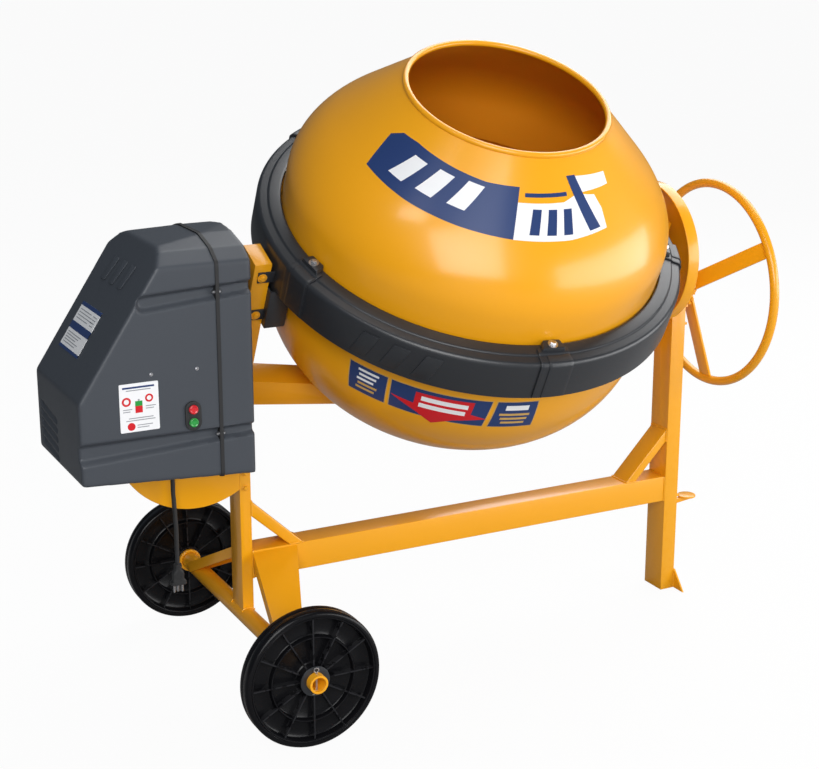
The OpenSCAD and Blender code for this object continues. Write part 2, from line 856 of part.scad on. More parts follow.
module handwheel_shaft() {
    color("silver") place() translate([0, 0, hand_z])
        rod_along_x(disc_x1 + 1, hand_hub_x1 + 4, hand_shaft_r);
}

module gear_along_x(x0, w, n, r, add, ded, bore, turn) {
    translate([x0, 0, 0]) rotate([90, 0, 90]) difference() {
        rotate(turn) linear_extrude(w) polygon(gear_line(n, r, add, ded));
        translate([0, 0, -bore_over]) cylinder(h = w + 2 * bore_over, r = bore);
    }
}

module tilt_pinion() {
    color("gray") place() translate([0, 0, hand_z])
        gear_along_x(disc_x1 + 1, hand_pinion_w, hand_teeth(), gear_module * hand_teeth() / 2, hand_add, hand_ded,
            hand_shaft_r + seat_fit, 90 + 180 / hand_teeth());
}

module tilt_gear() {
    color("gray") place() translate([0, 0, pivot_z])
        gear_along_x(disc_x1, tilt_gear_w, tilt_teeth, gear_module * tilt_teeth / 2, tilt_add, tilt_ded,
            trunnion_r + seat_fit, -90);
}

module lock_wheel() {
    tooth_w = 2 * PI * lock_r / lock_notches - lock_notch_w;
    color("orange") place() translate([lock_x0, 0, hand_z]) rotate([90, 0, 90]) difference() {
        rotate(-90 + 180 / lock_notches) linear_extrude(lock_w)
            polygon(toothed(lock_notches, lock_r - lock_notch, lock_r, tooth_w));
        translate([0, 0, -bore_over]) cylinder(h = lock_w + 2 * bore_over, r = hand_shaft_r + seat_fit);
    }
}

module lock_rod() {
    top = hand_z - lock_r - pin_gap_up;
    color("silver") place() translate([rod_x, 0, 0]) union() {
        translate([0, 0, rod_foot]) cylinder(h = top - rod_pin_l - rod_foot, r = rod_r);
        translate([0, 0, rod_collar_z]) cylinder(h = rod_r, r = rod_collar_r);
        translate([0, 0, top - rod_pin_l - bore_over]) cylinder(h = rod_pin_l + bore_over, r = rod_pin_r);
    }
}

module rod_guides() {
    color("orange") place() for (z = [guide_low, guide_high]) difference() {
        block([leg_x1, -guide_w / 2, z], [rod_x + rod_r + 7, guide_w / 2, z + guide_t]);
        translate([rod_x, 0, z - bore_over]) cylinder(h = guide_t + 2 * bore_over, r = rod_r + run_fit);
    }
}

module pedal_arm() {
    color("orange") place() slab([[leg_x1 + 1, rod_foot - pedal_arm_h], [pedal_x + 10, rod_foot - 8],
        [pedal_x + 10, rod_foot], [leg_x1 + 1, rod_foot]], pedal_arm_w);
}

module pedal_pad() {
    color("orange") place() translate([pedal_x, 0, rod_foot]) cylinder(h = pedal_t, r = pedal_r);
}

// The spring as a grooved sleeve, one bulge for each turn
module pedal_spring() {
    z0 = guide_low + guide_t;
    pitch = (rod_collar_z - z0) / spring_turns;
    inner = spring_r - 2 * spring_wire;
    color("silver") place() translate([rod_x, 0, z0]) rotate_extrude() polygon(concat([[inner, 0]],
        [for (k = [0:spring_turns - 1], s = [0, 1]) [s ? spring_r : spring_r - spring_wire, pitch * (k + s / 2)]],
        [[spring_r - spring_wire, rod_collar_z - z0], [inner, rod_collar_z - z0]]));
}

// Yoke, trunnions and gear guard

module yoke_arm_box() {
    difference() {
        block([-arm_out, -arm_w / 2, arm_foot], [-arm_in, arm_w / 2, arm_top]);
        block([arm_wall - arm_out, arm_wall - arm_w / 2, arm_foot - bore_over],
            [-arm_in - arm_wall, arm_w / 2 - arm_wall, arm_top - arm_wall]);
        rod_along_x(-arm_out - bore_over, -arm_in + bore_over, trunnion_r + seat_fit);
    }
}

module yoke_arm_left() {
    color("orange") tilted() yoke_arm_box();
}

module yoke_arm_right() {
    color("orange") tilted() mirror([1, 0, 0]) yoke_arm_box();
}

// Half of the beam's outline: its top keeps clear of the bowl and its bottom slopes to the spindle
function beam_half(t) = [
    [-arm_out + t, t ? arm_foot + bore_over : arm_foot], [-arm_out + t, arm_foot - beam_foot + t],
    [-beam_knee * drum_r, bowl_at(beam_knee * drum_r) - yoke_gap - beam_knee_h + t],
    [-beam_flat, bowl_bottom() - beam_flat_h + t]];
function beam_roof(t) = [for (i = [0:7]) let (r = i * beam_step * drum_r)
    [-r, max(bowl_at(r), bowl_bottom()) - yoke_gap - t]];

module yoke_half(t) {
    roof = beam_roof(t);
    slab(concat(beam_half(t), [[bore_over, bowl_bottom() - beam_mid_h + t], [bore_over, roof[0][1]]],
        roof, [[-arm_in - t, arm_foot - t / 4], [-arm_in - t, t ? arm_foot + bore_over : arm_foot]]),
        yoke_w - 2 * t);
}

module yoke_beam() {
    color("orange") tilted() difference() {
        union() {
            yoke_half(0);
            mirror([1, 0, 0]) yoke_half(0);
        }
        yoke_half(yoke_wall);
        mirror([1, 0, 0]) yoke_half(yoke_wall);
        translate([0, 0, housing_top - housing_l - bore_over])
            cylinder(h = housing_l + 2 * bore_over + 20, r = housing_r + seat_fit);
    }
}

module spindle_housing() {
    color("dimgray") tilted() translate([0, 0, housing_top - housing_l]) difference() {
        cylinder(h = housing_l, r = housing_r);
        translate([0, 0, -bore_over]) cylinder(h = housing_l + 2 * bore_over, r = spindle_r + run_fit);
    }
}

module trunnion_tube() {
    color("silver") tilted()
        tube_along_x(trunnion_x0 - drum_x, -arm_in, trunnion_r, shaft_r + run_fit);
}

module trunnion_stub() {
    color("silver") tilted() union() {
        rod_along_x(arm_in, disc_x1 + tilt_gear_w - drum_x, trunnion_r);
        rod_along_x(disc_x1 + tilt_gear_w - drum_x - bore_over, leg_x1 + bush_flange + 1 - drum_x, stub_r);
        rod_along_x(leg_x1 + bush_flange + 1 - drum_x, leg_x1 + bush_flange + 1 + stub_nut_t - drum_x, stub_nut_r);
    }
}

module tilt_disc() {
    color("orange") tilted() difference() {
        union() {
            rod_along_x(disc_x0 - drum_x, disc_x1 - drum_x, disc_r);
            tube_along_x(disc_x0 - disc_depth - drum_x, disc_x0 + bore_over - drum_x, disc_r, disc_r - disc_t);
        }
        rod_along_x(disc_x0 - bore_over - drum_x, disc_x1 + bore_over - drum_x, trunnion_r + seat_fit);
        block([arm_in - 10, -arm_w / 2 - face_gap, -disc_r - 10], [arm_out + face_gap, arm_w / 2 + face_gap, 0]);
    }
}

module guard_profile() {
    polygon([[guard_r - guard_t, guard_u0], [guard_r, guard_u0], [guard_r, guard_u1], [guard_lip_r, guard_lip_u],
        [guard_lip_r, guard_lip_u - guard_t], [guard_r - guard_t, guard_u1 - guard_t + 1]]);
}

module gear_guard() {
    color([0.12, 0.12, 0.13]) tilted() for (k = [0:guard_parts - 1])
        rotate([0, 0, guard_first + 360 * k / guard_parts + guard_split / 2])
            rotate_extrude(angle = 360 / guard_parts - guard_split, $fn = 180) guard_profile();
}

module guard_clips() {
    r = guard_r + clip_seat;
    color([0.12, 0.12, 0.13]) tilted() for (k = [0:guard_parts - 1])
        rotate([0, 0, guard_first + 360 * k / guard_parts - clip_deg / 2])
            rotate_extrude(angle = clip_deg, $fn = 180) polygon([[r, guard_u0 + 3], [r + clip_t - clip_seat, guard_u0 + 3],
                [r + clip_t - clip_seat, guard_u1 + 1], [guard_lip_r + 20, guard_lip_u + 1], [guard_lip_r + 20, guard_lip_u - 4.6],
                [r, guard_u1 + clip_seat]]);
}

module guard_brackets() {
    color([0.12, 0.12, 0.13]) tilted() for (side = [-1, 1], near = [-1, 1], low = [false, true]) {
        x0 = -arm_out + 10;
        x1 = low ? -arm_in : -sqrt(pow(guard_r, 2) - pow(arm_w / 2 + bracket_t, 2)) - face_gap;
        u0 = low ? -40 : 65;
        y0 = near < 0 ? -arm_w / 2 - bracket_t : arm_w / 2;
        mirror([side < 0 ? 0 : 1, 0, 0]) block([x0, y0, u0], [x1, y0 + bracket_t, u0 + 28]);
    }
}

module pinion_guard() {
    color([0.12, 0.12, 0.13]) tilted() difference() {
        block([-arm_in, -box_w / 2, box_u0], [box_x1 - drum_x, box_w / 2, guard_u0 - 1]);
        block([guard_t - arm_in, guard_t - box_w / 2, box_u0 + guard_t],
            [box_x1 + bore_over - drum_x, box_w / 2 - guard_t, guard_u0]);
        rod_along_x(-arm_in - bore_over, guard_t + bore_over - arm_in, shaft_r + 2);
        translate([0, 0, pinion_r - ring_add - ring_room])
            cylinder(h = guard_u0, r = ring_tip_r + ring_plate_over + ring_room, $fn = 180);
    }
}

// Drum, ring gear and pinion

module drum_bowl() {
    inner = bowl_line(drum_t);
    color("orange") tilted() rotate_extrude($fn = 180) polygon(concat([[0, bowl_bottom()]], bowl_line(0),
        [[drum_r, joint_u], [drum_r - drum_t, joint_u]], [for (i = [bowl_steps:-1:0]) inner[i]],
        [[0, bowl_bottom(drum_t)]]));
}

module drum_cone() {
    outer = shoulder(0);
    inner = shoulder(drum_t);
    flange_t = drum_t + 1;
    color("orange") tilted() union() {
        rotate_extrude($fn = 180) polygon(concat([[mouth_r, mouth_u]], [for (i = [0:8]) outer[i]],
            [[cone_r, joint_u + flange_t], [drum_r, joint_u + flange_t], [drum_r, joint_u], [cone_r - drum_t, joint_u]],
            [for (i = [8:-1:0]) inner[i]], [[mouth_r - drum_t, mouth_u - drum_t / 2]]));
        translate([0, 0, mouth_u]) rotate_extrude($fn = 128) translate([mouth_r, 0]) circle(r = bead_r, $fn = 24);
    }
}

module ring_gear() {
    color("gray") tilted() difference() {
        union() {
            translate([0, 0, pinion_r - ring_add]) linear_extrude(ring_plate_u - pinion_r + ring_add)
                rotate(180 + 180 / ring_teeth)
                    polygon(toothed(ring_teeth, ring_root_r, ring_tip_r, ring_tooth_w));
            translate([0, 0, ring_plate_u]) cylinder(h = ring_plate_t, r = ring_tip_r + ring_plate_over, $fn = 180);
        }
        cylinder(h = ring_plate_u + ring_plate_t + bore_over, r = drum_r + seat_fit, $fn = 180);
    }
}

module pinion_gear() {
    color("gray") tilted() gear_along_x(pinion_x0 - drum_x, pinion_w, pinion_teeth, pinion_r, pinion_add, pinion_ded,
        shaft_r + seat_fit, 90);
}

module pinion_shaft() {
    color("silver") place() translate([0, 0, pivot_z]) rod_along_x(belt_x0 - 4, pinion_x0 + pinion_w + 4, shaft_r);
}

module blade_zone(g) {
    inner = bowl_line(drum_t + g);
    rotate_extrude($fn = 120) polygon(concat([[0, bowl_bottom(drum_t + g)]], inner,
        [[drum_r - drum_t - g, joint_u - 20], [0, joint_u - 20]]));
}

module mixing_blades() {
    color("orange") tilted() intersection() {
        for (side = [0, 180]) rotate([0, 0, side + 30]) rotate([24, 0, 0])
            block([110, -blade_t / 2, -1.2 * bowl_depth], [1.2 * drum_r, blade_t / 2, 60]);
        difference() {
            blade_zone(blade_gap);
            blade_zone(blade_depth);
        }
    }
}

module drum_spindle() {
    top = bowl_bottom();
    nut = housing_top - housing_l - face_gap;
    color("silver") tilted() union() {
        translate([0, 0, top - spindle_flange_t]) cylinder(h = spindle_flange_t, r = spindle_flange_r);
        translate([0, 0, nut - bore_over]) cylinder(h = top - nut, r = spindle_r);
        translate([0, 0, nut - spindle_nut_t]) cylinder(h = spindle_nut_t, r = spindle_nut_r);
    }
}

main_beam();
wheel_post();
leg_post();
leg_brace();
post_brace();
axle_gussets();
axle_tube();
foot_plate();
trunnion_bearings();
handwheel_bushes();
motor_plate();
motor_body();
drive_belt();
cover_outer();
cover_inner();
seam_strap();
cover_screws();
switch_box();
cord_gland();
power_cord();
plug_body();
plug_pins();
axle_collars();
axle_washers();
cotter_pins();
rod_guides();
start_button();
stop_button();
wheel_front();
wheel_rear();
handwheel();
handwheel_shaft();
tilt_pinion();
lock_wheel();
lock_rod();
pedal_arm();
pedal_pad();
pedal_spring();
yoke_arm_left();
yoke_arm_right();
yoke_beam();
trunnion_tube();
trunnion_stub();
tilt_disc();
tilt_gear();
gear_guard();
guard_clips();
guard_brackets();
pinion_guard();
spindle_housing();
pinion_gear();
pinion_shaft();
driven_pulley();
motor_pulley();
drum_bowl();
drum_cone();
ring_gear();
mixing_blades();
drum_spindle();
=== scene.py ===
import json
import math

import bmesh
import bpy
import numpy as np
from mathutils import Matrix, Vector

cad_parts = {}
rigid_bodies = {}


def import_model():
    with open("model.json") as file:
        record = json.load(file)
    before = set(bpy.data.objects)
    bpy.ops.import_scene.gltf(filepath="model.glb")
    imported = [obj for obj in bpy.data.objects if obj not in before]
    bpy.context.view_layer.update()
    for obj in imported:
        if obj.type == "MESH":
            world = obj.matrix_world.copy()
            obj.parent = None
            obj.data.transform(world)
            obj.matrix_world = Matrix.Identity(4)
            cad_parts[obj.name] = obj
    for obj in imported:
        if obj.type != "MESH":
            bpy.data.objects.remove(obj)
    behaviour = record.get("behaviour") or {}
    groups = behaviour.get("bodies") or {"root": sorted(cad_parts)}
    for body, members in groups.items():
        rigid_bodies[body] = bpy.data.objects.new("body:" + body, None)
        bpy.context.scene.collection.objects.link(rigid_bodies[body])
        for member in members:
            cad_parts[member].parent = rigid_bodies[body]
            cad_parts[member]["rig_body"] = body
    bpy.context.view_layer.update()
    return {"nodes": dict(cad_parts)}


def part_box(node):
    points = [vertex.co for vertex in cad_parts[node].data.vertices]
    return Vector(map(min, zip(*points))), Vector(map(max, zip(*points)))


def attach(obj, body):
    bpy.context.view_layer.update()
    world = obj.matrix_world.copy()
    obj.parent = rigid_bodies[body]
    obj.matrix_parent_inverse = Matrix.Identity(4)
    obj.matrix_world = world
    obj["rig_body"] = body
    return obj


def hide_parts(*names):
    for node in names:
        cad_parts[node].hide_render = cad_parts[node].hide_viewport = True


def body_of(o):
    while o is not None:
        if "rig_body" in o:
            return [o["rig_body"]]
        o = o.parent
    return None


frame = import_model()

bl_info = {
    "name": "Tilting drum mixer",
    "version": (1, 0, 0),
    "blender": (4, 5, 0),
    "location": "3D View > Sidebar > Mixer",
    "description": "Builds the detailed shells, fittings and finishes of a concrete mixer round its frame",
    "category": "Add Mesh",
}

MM = 0.001

# Places that the frame gives. Local coordinates are in millimetres, with X from the wheel axle, Y from the
# frame's middle plane and Z up from the ground. Drum coordinates have their origin on the tilting axis.


def middle(node):
    """The middle of a node's box."""
    low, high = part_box(node)
    return (low + high) / 2


ORIGIN = Vector((middle("axle_tube").x, middle("main_beam").y, 0))
PIVOT = Vector((
    (middle("yoke_arm_left").x + middle("yoke_arm_right").x) / 2,
    middle("trunnion_tube").y,
    middle("trunnion_tube").z,
))
DRUM_LEAN = math.radians(26.5)
LOCAL = Matrix.Translation(ORIGIN) @ Matrix.Scale(MM, 4)
DRUM = Matrix.Translation(PIVOT) @ Matrix.Rotation(DRUM_LEAN, 4, "X") @ Matrix.Scale(MM, 4)


def local_box(node):
    """A node's box in local millimetres."""
    low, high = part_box(node)
    return (low - ORIGIN) / MM, (high - ORIGIN) / MM


# ------------------------------------------------------------------------------------------ settings


def colour(name, description, default):
    return bpy.props.FloatVectorProperty(
        name=name, description=description, subtype="COLOR", size=3, min=0, max=1, default=default)


def length(name, description, default):
    return bpy.props.FloatProperty(name=name, description=description, unit="LENGTH", default=default)


class MixerColours(bpy.types.PropertyGroup):
    paint: colour("Paint", "Gloss paint of the frame and the drum", (0.86, 0.370, 0.006))
    cover: colour("Cover", "Moulded plastic of the motor cover", (0.058, 0.065, 0.077))
    guard: colour("Guard", "Moulded plastic of the gear guard", (0.020, 0.022, 0.026))
    wheel: colour("Wheels", "Hard plastic of the wheels", (0.005, 0.005, 0.006))
    navy: colour("Navy", "Dark ink of the stickers", (0.020, 0.045, 0.150))
    red: colour("Red", "Red ink of the stickers and the stop button", (0.62, 0.014, 0.022))
    green: colour("Green", "The start button", (0.020, 0.30, 0.050))
    white: colour("White", "White ground of the stickers", (0.84, 0.84, 0.85))
    sand: colour("Sand", "Thin borders of the stickers", (0.60, 0.36, 0.10))
    floor: colour("Floor", "Pale studio floor", (0.30, 0.30, 0.30))


class MixerSizes(bpy.types.PropertyGroup):
    tube_round: length("Tube rounding", "Rounding along the edges of the frame tubes", 0.0032)
    plate_round: length("Plate rounding", "Rounding along the edges of plates", 0.0011)
    weld_bead: length("Weld bead", "Radius of a weld bead", 0.0027)
    bolt_head: length("Bolt head", "Radius of a hexagon head", 0.0068)
    cover_voxel: length("Cover detail", "Mesh size of the moulded motor cover", 0.0034)
    decal_lift: length("Sticker lift", "How far a sticker stands off the paint", 0.00035)
    spring_wire: length("Spring wire", "Radius of the lock spring's wire", 0.0015)


class StageSettings(bpy.types.PropertyGroup):
    azimuth: bpy.props.FloatProperty(
        name="Azimuth", description="Direction that the camera looks from", unit="ROTATION",
        default=math.radians(-27.155))
    elevation: bpy.props.FloatProperty(
        name="Elevation", description="Height of the camera above the horizon", unit="ROTATION",
        default=math.radians(15.851))
    lens: bpy.props.FloatProperty(
        name="Lens", description="Focal length of the camera in millimetres", default=73.64)
    place: bpy.props.FloatVectorProperty(
        name="Place", description="Where the camera stands", subtype="TRANSLATION", unit="LENGTH",
        default=(-1.7792, -3.4012, 1.7529))
    floor_size: length("Floor size", "Width of the studio floor", 120.0)


def colours():
    return bpy.context.scene.mixer_colours


def sizes():
    return bpy.context.scene.mixer_sizes


# --------------------------------------------------------------------------------------- node helpers

# Places of a Mix node's colour sockets, whose names its other kinds of value share.
COLOUR_A = 6
COLOUR_B = 7
COLOUR_RESULT = 2


def link(tree, source, target):
    tree.links.new(source, target)


def node(tree, kind, **inputs):
    """A node with its named inputs set to numbers or linked to other sockets."""
    made = tree.nodes.new(kind)
    for name, value in inputs.items():
        socket = made.inputs[name.replace("_", " ")]
        if isinstance(value, bpy.types.NodeSocket):
            link(tree, value, socket)
        else:
            socket.default_value = value
    return made


def maths(tree, operation, a, b=None, c=None):
    """A Math node's output."""
    made = tree.nodes.new("ShaderNodeMath")
    made.operation = operation
    for socket, value in zip(made.inputs, (a, b, c)):
        if isinstance(value, bpy.types.NodeSocket):
            link(tree, value, socket)
        elif value is not None:
            socket.default_value = value
    return made.outputs[0]


def colour_mix(tree, factor, base, over, blend="MIX"):
    """A colour that goes from a linked base to a plain colour laid over it."""
    made = tree.nodes.new("ShaderNodeMix")
    made.data_type = "RGBA"
    made.blend_type = blend
    link(tree, factor, made.inputs["Factor"])
    link(tree, base, made.inputs[COLOUR_A])
    made.inputs[COLOUR_B].default_value = (*over, 1)
    return made.outputs[COLOUR_RESULT]


def camera_mix(tree, share, lit, seen, end):
    """Ends a tree: one shader lights the scene, and the camera sees a share of the other."""
    path = node(tree, "ShaderNodeLightPath")
    mix = tree.nodes.new("ShaderNodeMixShader")
    link(tree, maths(tree, "MULTIPLY", path.outputs["Is Camera Ray"], share), mix.inputs[0])
    link(tree, lit.outputs[0], mix.inputs[1])
    link(tree, seen.outputs[0], mix.inputs[2])
    link(tree, mix.outputs[0], end.inputs["Surface"])


def new_group(name, kind, inputs, outputs):
    """A node group with its sockets, as (tree, inputs by name, output node)."""
    tree = bpy.data.node_groups.new(name, kind)
    for label, socket_type, default in inputs:
        socket = tree.interface.new_socket(name=label, in_out="INPUT", socket_type=socket_type)
        if default is not None:
            socket.default_value = default
    for label, socket_type in outputs:
        tree.interface.new_socket(name=label, in_out="OUTPUT", socket_type=socket_type)
    entry = tree.nodes.new("NodeGroupInput")
    leave = tree.nodes.new("NodeGroupOutput")
    return tree, {s.name: s for s in entry.outputs if s.name}, leave


# ----------------------------------------------------------------------------------- shader node groups


def shade_group():
    """Slow changes of tone over a surface: a colour that drifts between the base and a darker one."""
    tree, entry, leave = new_group("tone_drift", "ShaderNodeTree", [
        ("Color", "NodeSocketColor", (0.5, 0.5, 0.5, 1)),
        ("Amount", "NodeSocketFloat", 0.1),
        ("Scale", "NodeSocketFloat", 6.0),
        ("Base Roughness", "NodeSocketFloat", 0.4),
        ("Roughness Drift", "NodeSocketFloat", 0.08),
    ], [("Color", "NodeSocketColor"), ("Roughness", "NodeSocketFloat")])
    place = node(tree, "ShaderNodeTexCoord")
    broad = node(tree, "ShaderNodeTexNoise", Vector=place.outputs["Object"], Scale=entry["Scale"], Detail=3.0)
    fine = node(tree, "ShaderNodeTexNoise", Vector=place.outputs["Object"], Scale=90.0, Detail=2.0)
    fine_share = 0.35
    most = maths(tree, "MULTIPLY", broad.outputs["Fac"], 1 - fine_share)
    blend = maths(tree, "MULTIPLY_ADD", fine.outputs["Fac"], fine_share, most)
    darkening = (0.45, 0.42, 0.40)
    amount = maths(tree, "MULTIPLY", blend, entry["Amount"])
    link(tree, colour_mix(tree, amount, entry["Color"], darkening, "MULTIPLY"), leave.inputs["Color"])
    swing = maths(tree, "SUBTRACT", blend, 0.5)
    drift = maths(tree, "MULTIPLY_ADD", swing, entry["Roughness Drift"], entry["Base Roughness"])
    link(tree, drift, leave.inputs["Roughness"])
    return tree


def grain_group():
    """Fine relief: the orange peel of sprayed paint or the grain of moulded plastic."""
    tree, entry, leave = new_group("fine_grain", "ShaderNodeTree", [
        ("Scale", "NodeSocketFloat", 300.0),
        ("Strength", "NodeSocketFloat", 0.1),
        ("Depth", "NodeSocketFloat", 0.0002),
    ], [("Normal", "NodeSocketVector")])
    place = node(tree, "ShaderNodeTexCoord")
    noise = node(tree, "ShaderNodeTexNoise", Vector=place.outputs["Object"], Scale=entry["Scale"], Detail=2.0)
    bump = node(tree, "ShaderNodeBump", Strength=entry["Strength"], Distance=entry["Depth"],
                Height=noise.outputs["Fac"])
    link(tree, bump.outputs["Normal"], leave.inputs["Normal"])
    return tree


def wear_group():
    """A mask along convex edges, broken up by noise, where handling has rubbed the surface."""
    tree, entry, leave = new_group("edge_wear", "ShaderNodeTree", [
        ("Amount", "NodeSocketFloat", 0.3),
        ("Start", "NodeSocketFloat", 0.54),
        ("Scale", "NodeSocketFloat", 60.0),
    ], [("Mask", "NodeSocketFloat")])
    place = node(tree, "ShaderNodeTexCoord")
    shape = node(tree, "ShaderNodeNewGeometry")
    noise = node(tree, "ShaderNodeTexNoise", Vector=place.outputs["Object"], Scale=entry["Scale"], Detail=4.0)
    steepness = 12.0
    bare_level = 0.46
    above = maths(tree, "SUBTRACT", shape.outputs["Pointiness"], entry["Start"])
    rise = maths(tree, "MULTIPLY", above, steepness)
    rise.node.use_clamp = True
    broken = maths(tree, "MULTIPLY", rise, maths(tree, "GREATER_THAN", noise.outputs["Fac"], bare_level))
    link(tree, maths(tree, "MULTIPLY", broken, entry["Amount"]), leave.inputs["Mask"])
    return tree


def dust_group():
    """Pale dust that settles on faces that look up."""
    tree, entry, leave = new_group("settled_dust", "ShaderNodeTree", [
        ("Amount", "NodeSocketFloat", 0.1),
        ("Scale", "NodeSocketFloat", 14.0),
    ], [("Mask", "NodeSocketFloat")])
    place = node(tree, "ShaderNodeTexCoord")
    shape = node(tree, "ShaderNodeNewGeometry")
    split = node(tree, "ShaderNodeSeparateXYZ", Vector=shape.outputs["Normal"])
    noise = node(tree, "ShaderNodeTexNoise", Vector=place.outputs["Object"], Scale=entry["Scale"], Detail=6.0)
    up = maths(tree, "MAXIMUM", split.outputs["Z"], 0.0)
    patch = maths(tree, "MULTIPLY", maths(tree, "POWER", up, 2.0), noise.outputs["Fac"])
    link(tree, maths(tree, "MULTIPLY", patch, entry["Amount"]), leave.inputs["Mask"])
    return tree


GROUPS = {}
DUST_COLOUR = (0.55, 0.53, 0.50)


def group(name):
    """Each shared effect is built once."""
    if name not in GROUPS:
        GROUPS[name] = {
            "tone": shade_group, "grain": grain_group, "wear": wear_group, "dust": dust_group}[name]()
    return GROUPS[name]


def use_group(tree, name, **inputs):
    made = tree.nodes.new("ShaderNodeGroup")
    made.node_tree = group(name)
    for label, value in inputs.items():
        made.inputs[label.replace("_", " ")].default_value = value
    return made


def finish(name, base, rough, metal=0.0, tone=0.12, tone_scale=5.0, drift=0.10, grain=300.0, relief=0.12,
           depth=0.0002, wear=0.0, worn=(0.5, 0.5, 0.5), dust=0.0, coat=0.0, coat_rough=0.1, gloss=0.5):
    """A material from the shared effects, with its own values."""
    name = "mixer_" + name
    if name in bpy.data.materials:
        return bpy.data.materials[name]
    made = bpy.data.materials.new(name)
    made.use_nodes = True
    made.diffuse_color = (*base, 1)
    tree = made.node_tree
    shader = tree.nodes["Principled BSDF"]
    shades = use_group(tree, "tone", Color=(*base, 1), Amount=tone, Scale=tone_scale, Base_Roughness=rough,
                       Roughness_Drift=drift)
    skin = shades.outputs["Color"]
    for effect, amount, over in (("wear", wear, worn), ("dust", dust, DUST_COLOUR)):
        if amount:
            mask = use_group(tree, effect, Amount=amount)
            skin = colour_mix(tree, mask.outputs["Mask"], skin, over)
    link(tree, skin, shader.inputs["Base Color"])
    link(tree, shades.outputs["Roughness"], shader.inputs["Roughness"])
    relief_node = use_group(tree, "grain", Scale=grain, Strength=relief, Depth=depth)
    link(tree, relief_node.outputs["Normal"], shader.inputs["Normal"])
    shader.inputs["Metallic"].default_value = metal
    shader.inputs["Specular IOR Level"].default_value = gloss
    shader.inputs["Coat Weight"].default_value = coat
    shader.inputs["Coat Roughness"].default_value = coat_rough
    return made


# ---------------------------------------------------------------------------------------- materials


def yellow_paint():
    return finish("yellow_paint", tuple(colours().paint), 0.34, tone=0.08, grain=420, relief=0.08,
                  depth=0.00025, wear=0.05, worn=(0.96, 0.60, 0.12), dust=0.008, coat=0.45, coat_rough=0.16,
                  gloss=0.36)


def drum_inside_paint():
    r, g, b = colours().paint
    redder = (0.93 * r, 0.78 * g, b)
    return finish("drum_inside_paint", redder, 0.5, tone=0.12, tone_scale=6, grain=160, relief=0.2,
                  depth=0.0004, dust=0.02, coat=0.1, coat_rough=0.3)


def cover_plastic():
    return finish("cover_plastic", tuple(colours().cover), 0.40, tone=0.14, drift=0.12, grain=900,
                  relief=0.22, depth=0.0002, wear=0.12, worn=(0.09, 0.10, 0.11), dust=0.003, gloss=0.30)


def guard_plastic():
    return finish("guard_plastic", tuple(colours().guard), 0.36, tone=0.18, drift=0.12, grain=900,
                  relief=0.20, depth=0.0002, wear=0.2, worn=(0.09, 0.095, 0.11), dust=0.004, gloss=0.6)


def wheel_plastic():
    return finish("wheel_plastic", tuple(colours().wheel), 0.24, tone=0.2, drift=0.12, grain=260, relief=0.12,
                  depth=0.0003, wear=0.22, worn=(0.06, 0.06, 0.066), dust=0.001, gloss=0.2)


def steel():
    return finish("zinc_steel", (0.62, 0.62, 0.64), 0.30, metal=1.0, tone=0.25, tone_scale=40, grain=700,
                  relief=0.15, depth=0.0001)


def cast_iron():
    return finish("cast_iron", (0.16, 0.16, 0.165), 0.58, metal=0.85, tone=0.4, tone_scale=30, grain=240,
                  relief=0.5, depth=0.0005, wear=0.3, worn=(0.5, 0.5, 0.5))


def rubber():
    return finish("black_rubber", (0.014, 0.014, 0.015), 0.62, tone=0.3, grain=500, relief=0.3, depth=0.0003)


def motor_paint():
    return finish("motor_paint", (0.10, 0.13, 0.17), 0.45, tone=0.2, grain=300, relief=0.3, depth=0.0004)


def ink(name, shade, rough=0.34):
    return finish(name, tuple(shade), rough, tone=0.07, tone_scale=12, drift=0.06, grain=800, relief=0.05,
                  depth=0.0001, coat=0.05, coat_rough=0.2, gloss=0.3)


def button_plastic(name, shade):
    return finish(name, tuple(shade), 0.28, tone=0.08, grain=500, relief=0.08, depth=0.0001, wear=0.1,
                  worn=(0.9, 0.6, 0.6), coat=0.3)


FINISHES = {
    "yellow_paint": yellow_paint, "cover_plastic": cover_plastic, "guard_plastic": guard_plastic,
    "wheel_plastic": wheel_plastic, "steel": steel, "cast_iron": cast_iron, "rubber": rubber,
    "motor_paint": motor_paint,
    "red_plastic": lambda: button_plastic("red_plastic", colours().red),
    "green_plastic": lambda: button_plastic("green_plastic", colours().green),
}


# ------------------------------------------------------------------------------------- mesh helpers


def smooth(mesh, angle=35):
    """Smooth shading, with edges sharper than the angle kept crisp."""
    for face in mesh.polygons:
        face.use_smooth = True
    mesh.set_sharp_from_angle(angle=math.radians(angle))


def piece(name, form, place, materials, body=None, stands_for=(), angle=35):
    """Turns a bmesh in millimetres into an object, in its place, riding on its body."""
    form.transform(place)
    mesh = bpy.data.meshes.new(name)
    form.to_mesh(mesh)
    form.free()
    for finish_of in materials:
        mesh.materials.append(finish_of)
    smooth(mesh, angle)
    made = bpy.data.objects.new(name, mesh)
    bpy.context.scene.collection.objects.link(made)
    if body:
        settle(made, body, stands_for)
    return made


def settle(made, body, stands_for=()):
    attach(made, body)
    if stands_for:
        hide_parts(*stands_for)


def bake_modifiers(made, angle=35):
    """Applies an object's modifiers to its mesh."""
    bpy.context.view_layer.update()
    evaluated = made.evaluated_get(bpy.context.evaluated_depsgraph_get())
    mesh = bpy.data.meshes.new_from_object(evaluated)
    made.modifiers.clear()
    old = made.data
    made.data = mesh
    mesh.name = made.name
    bpy.data.meshes.remove(old)
    smooth(mesh, angle)
    return made


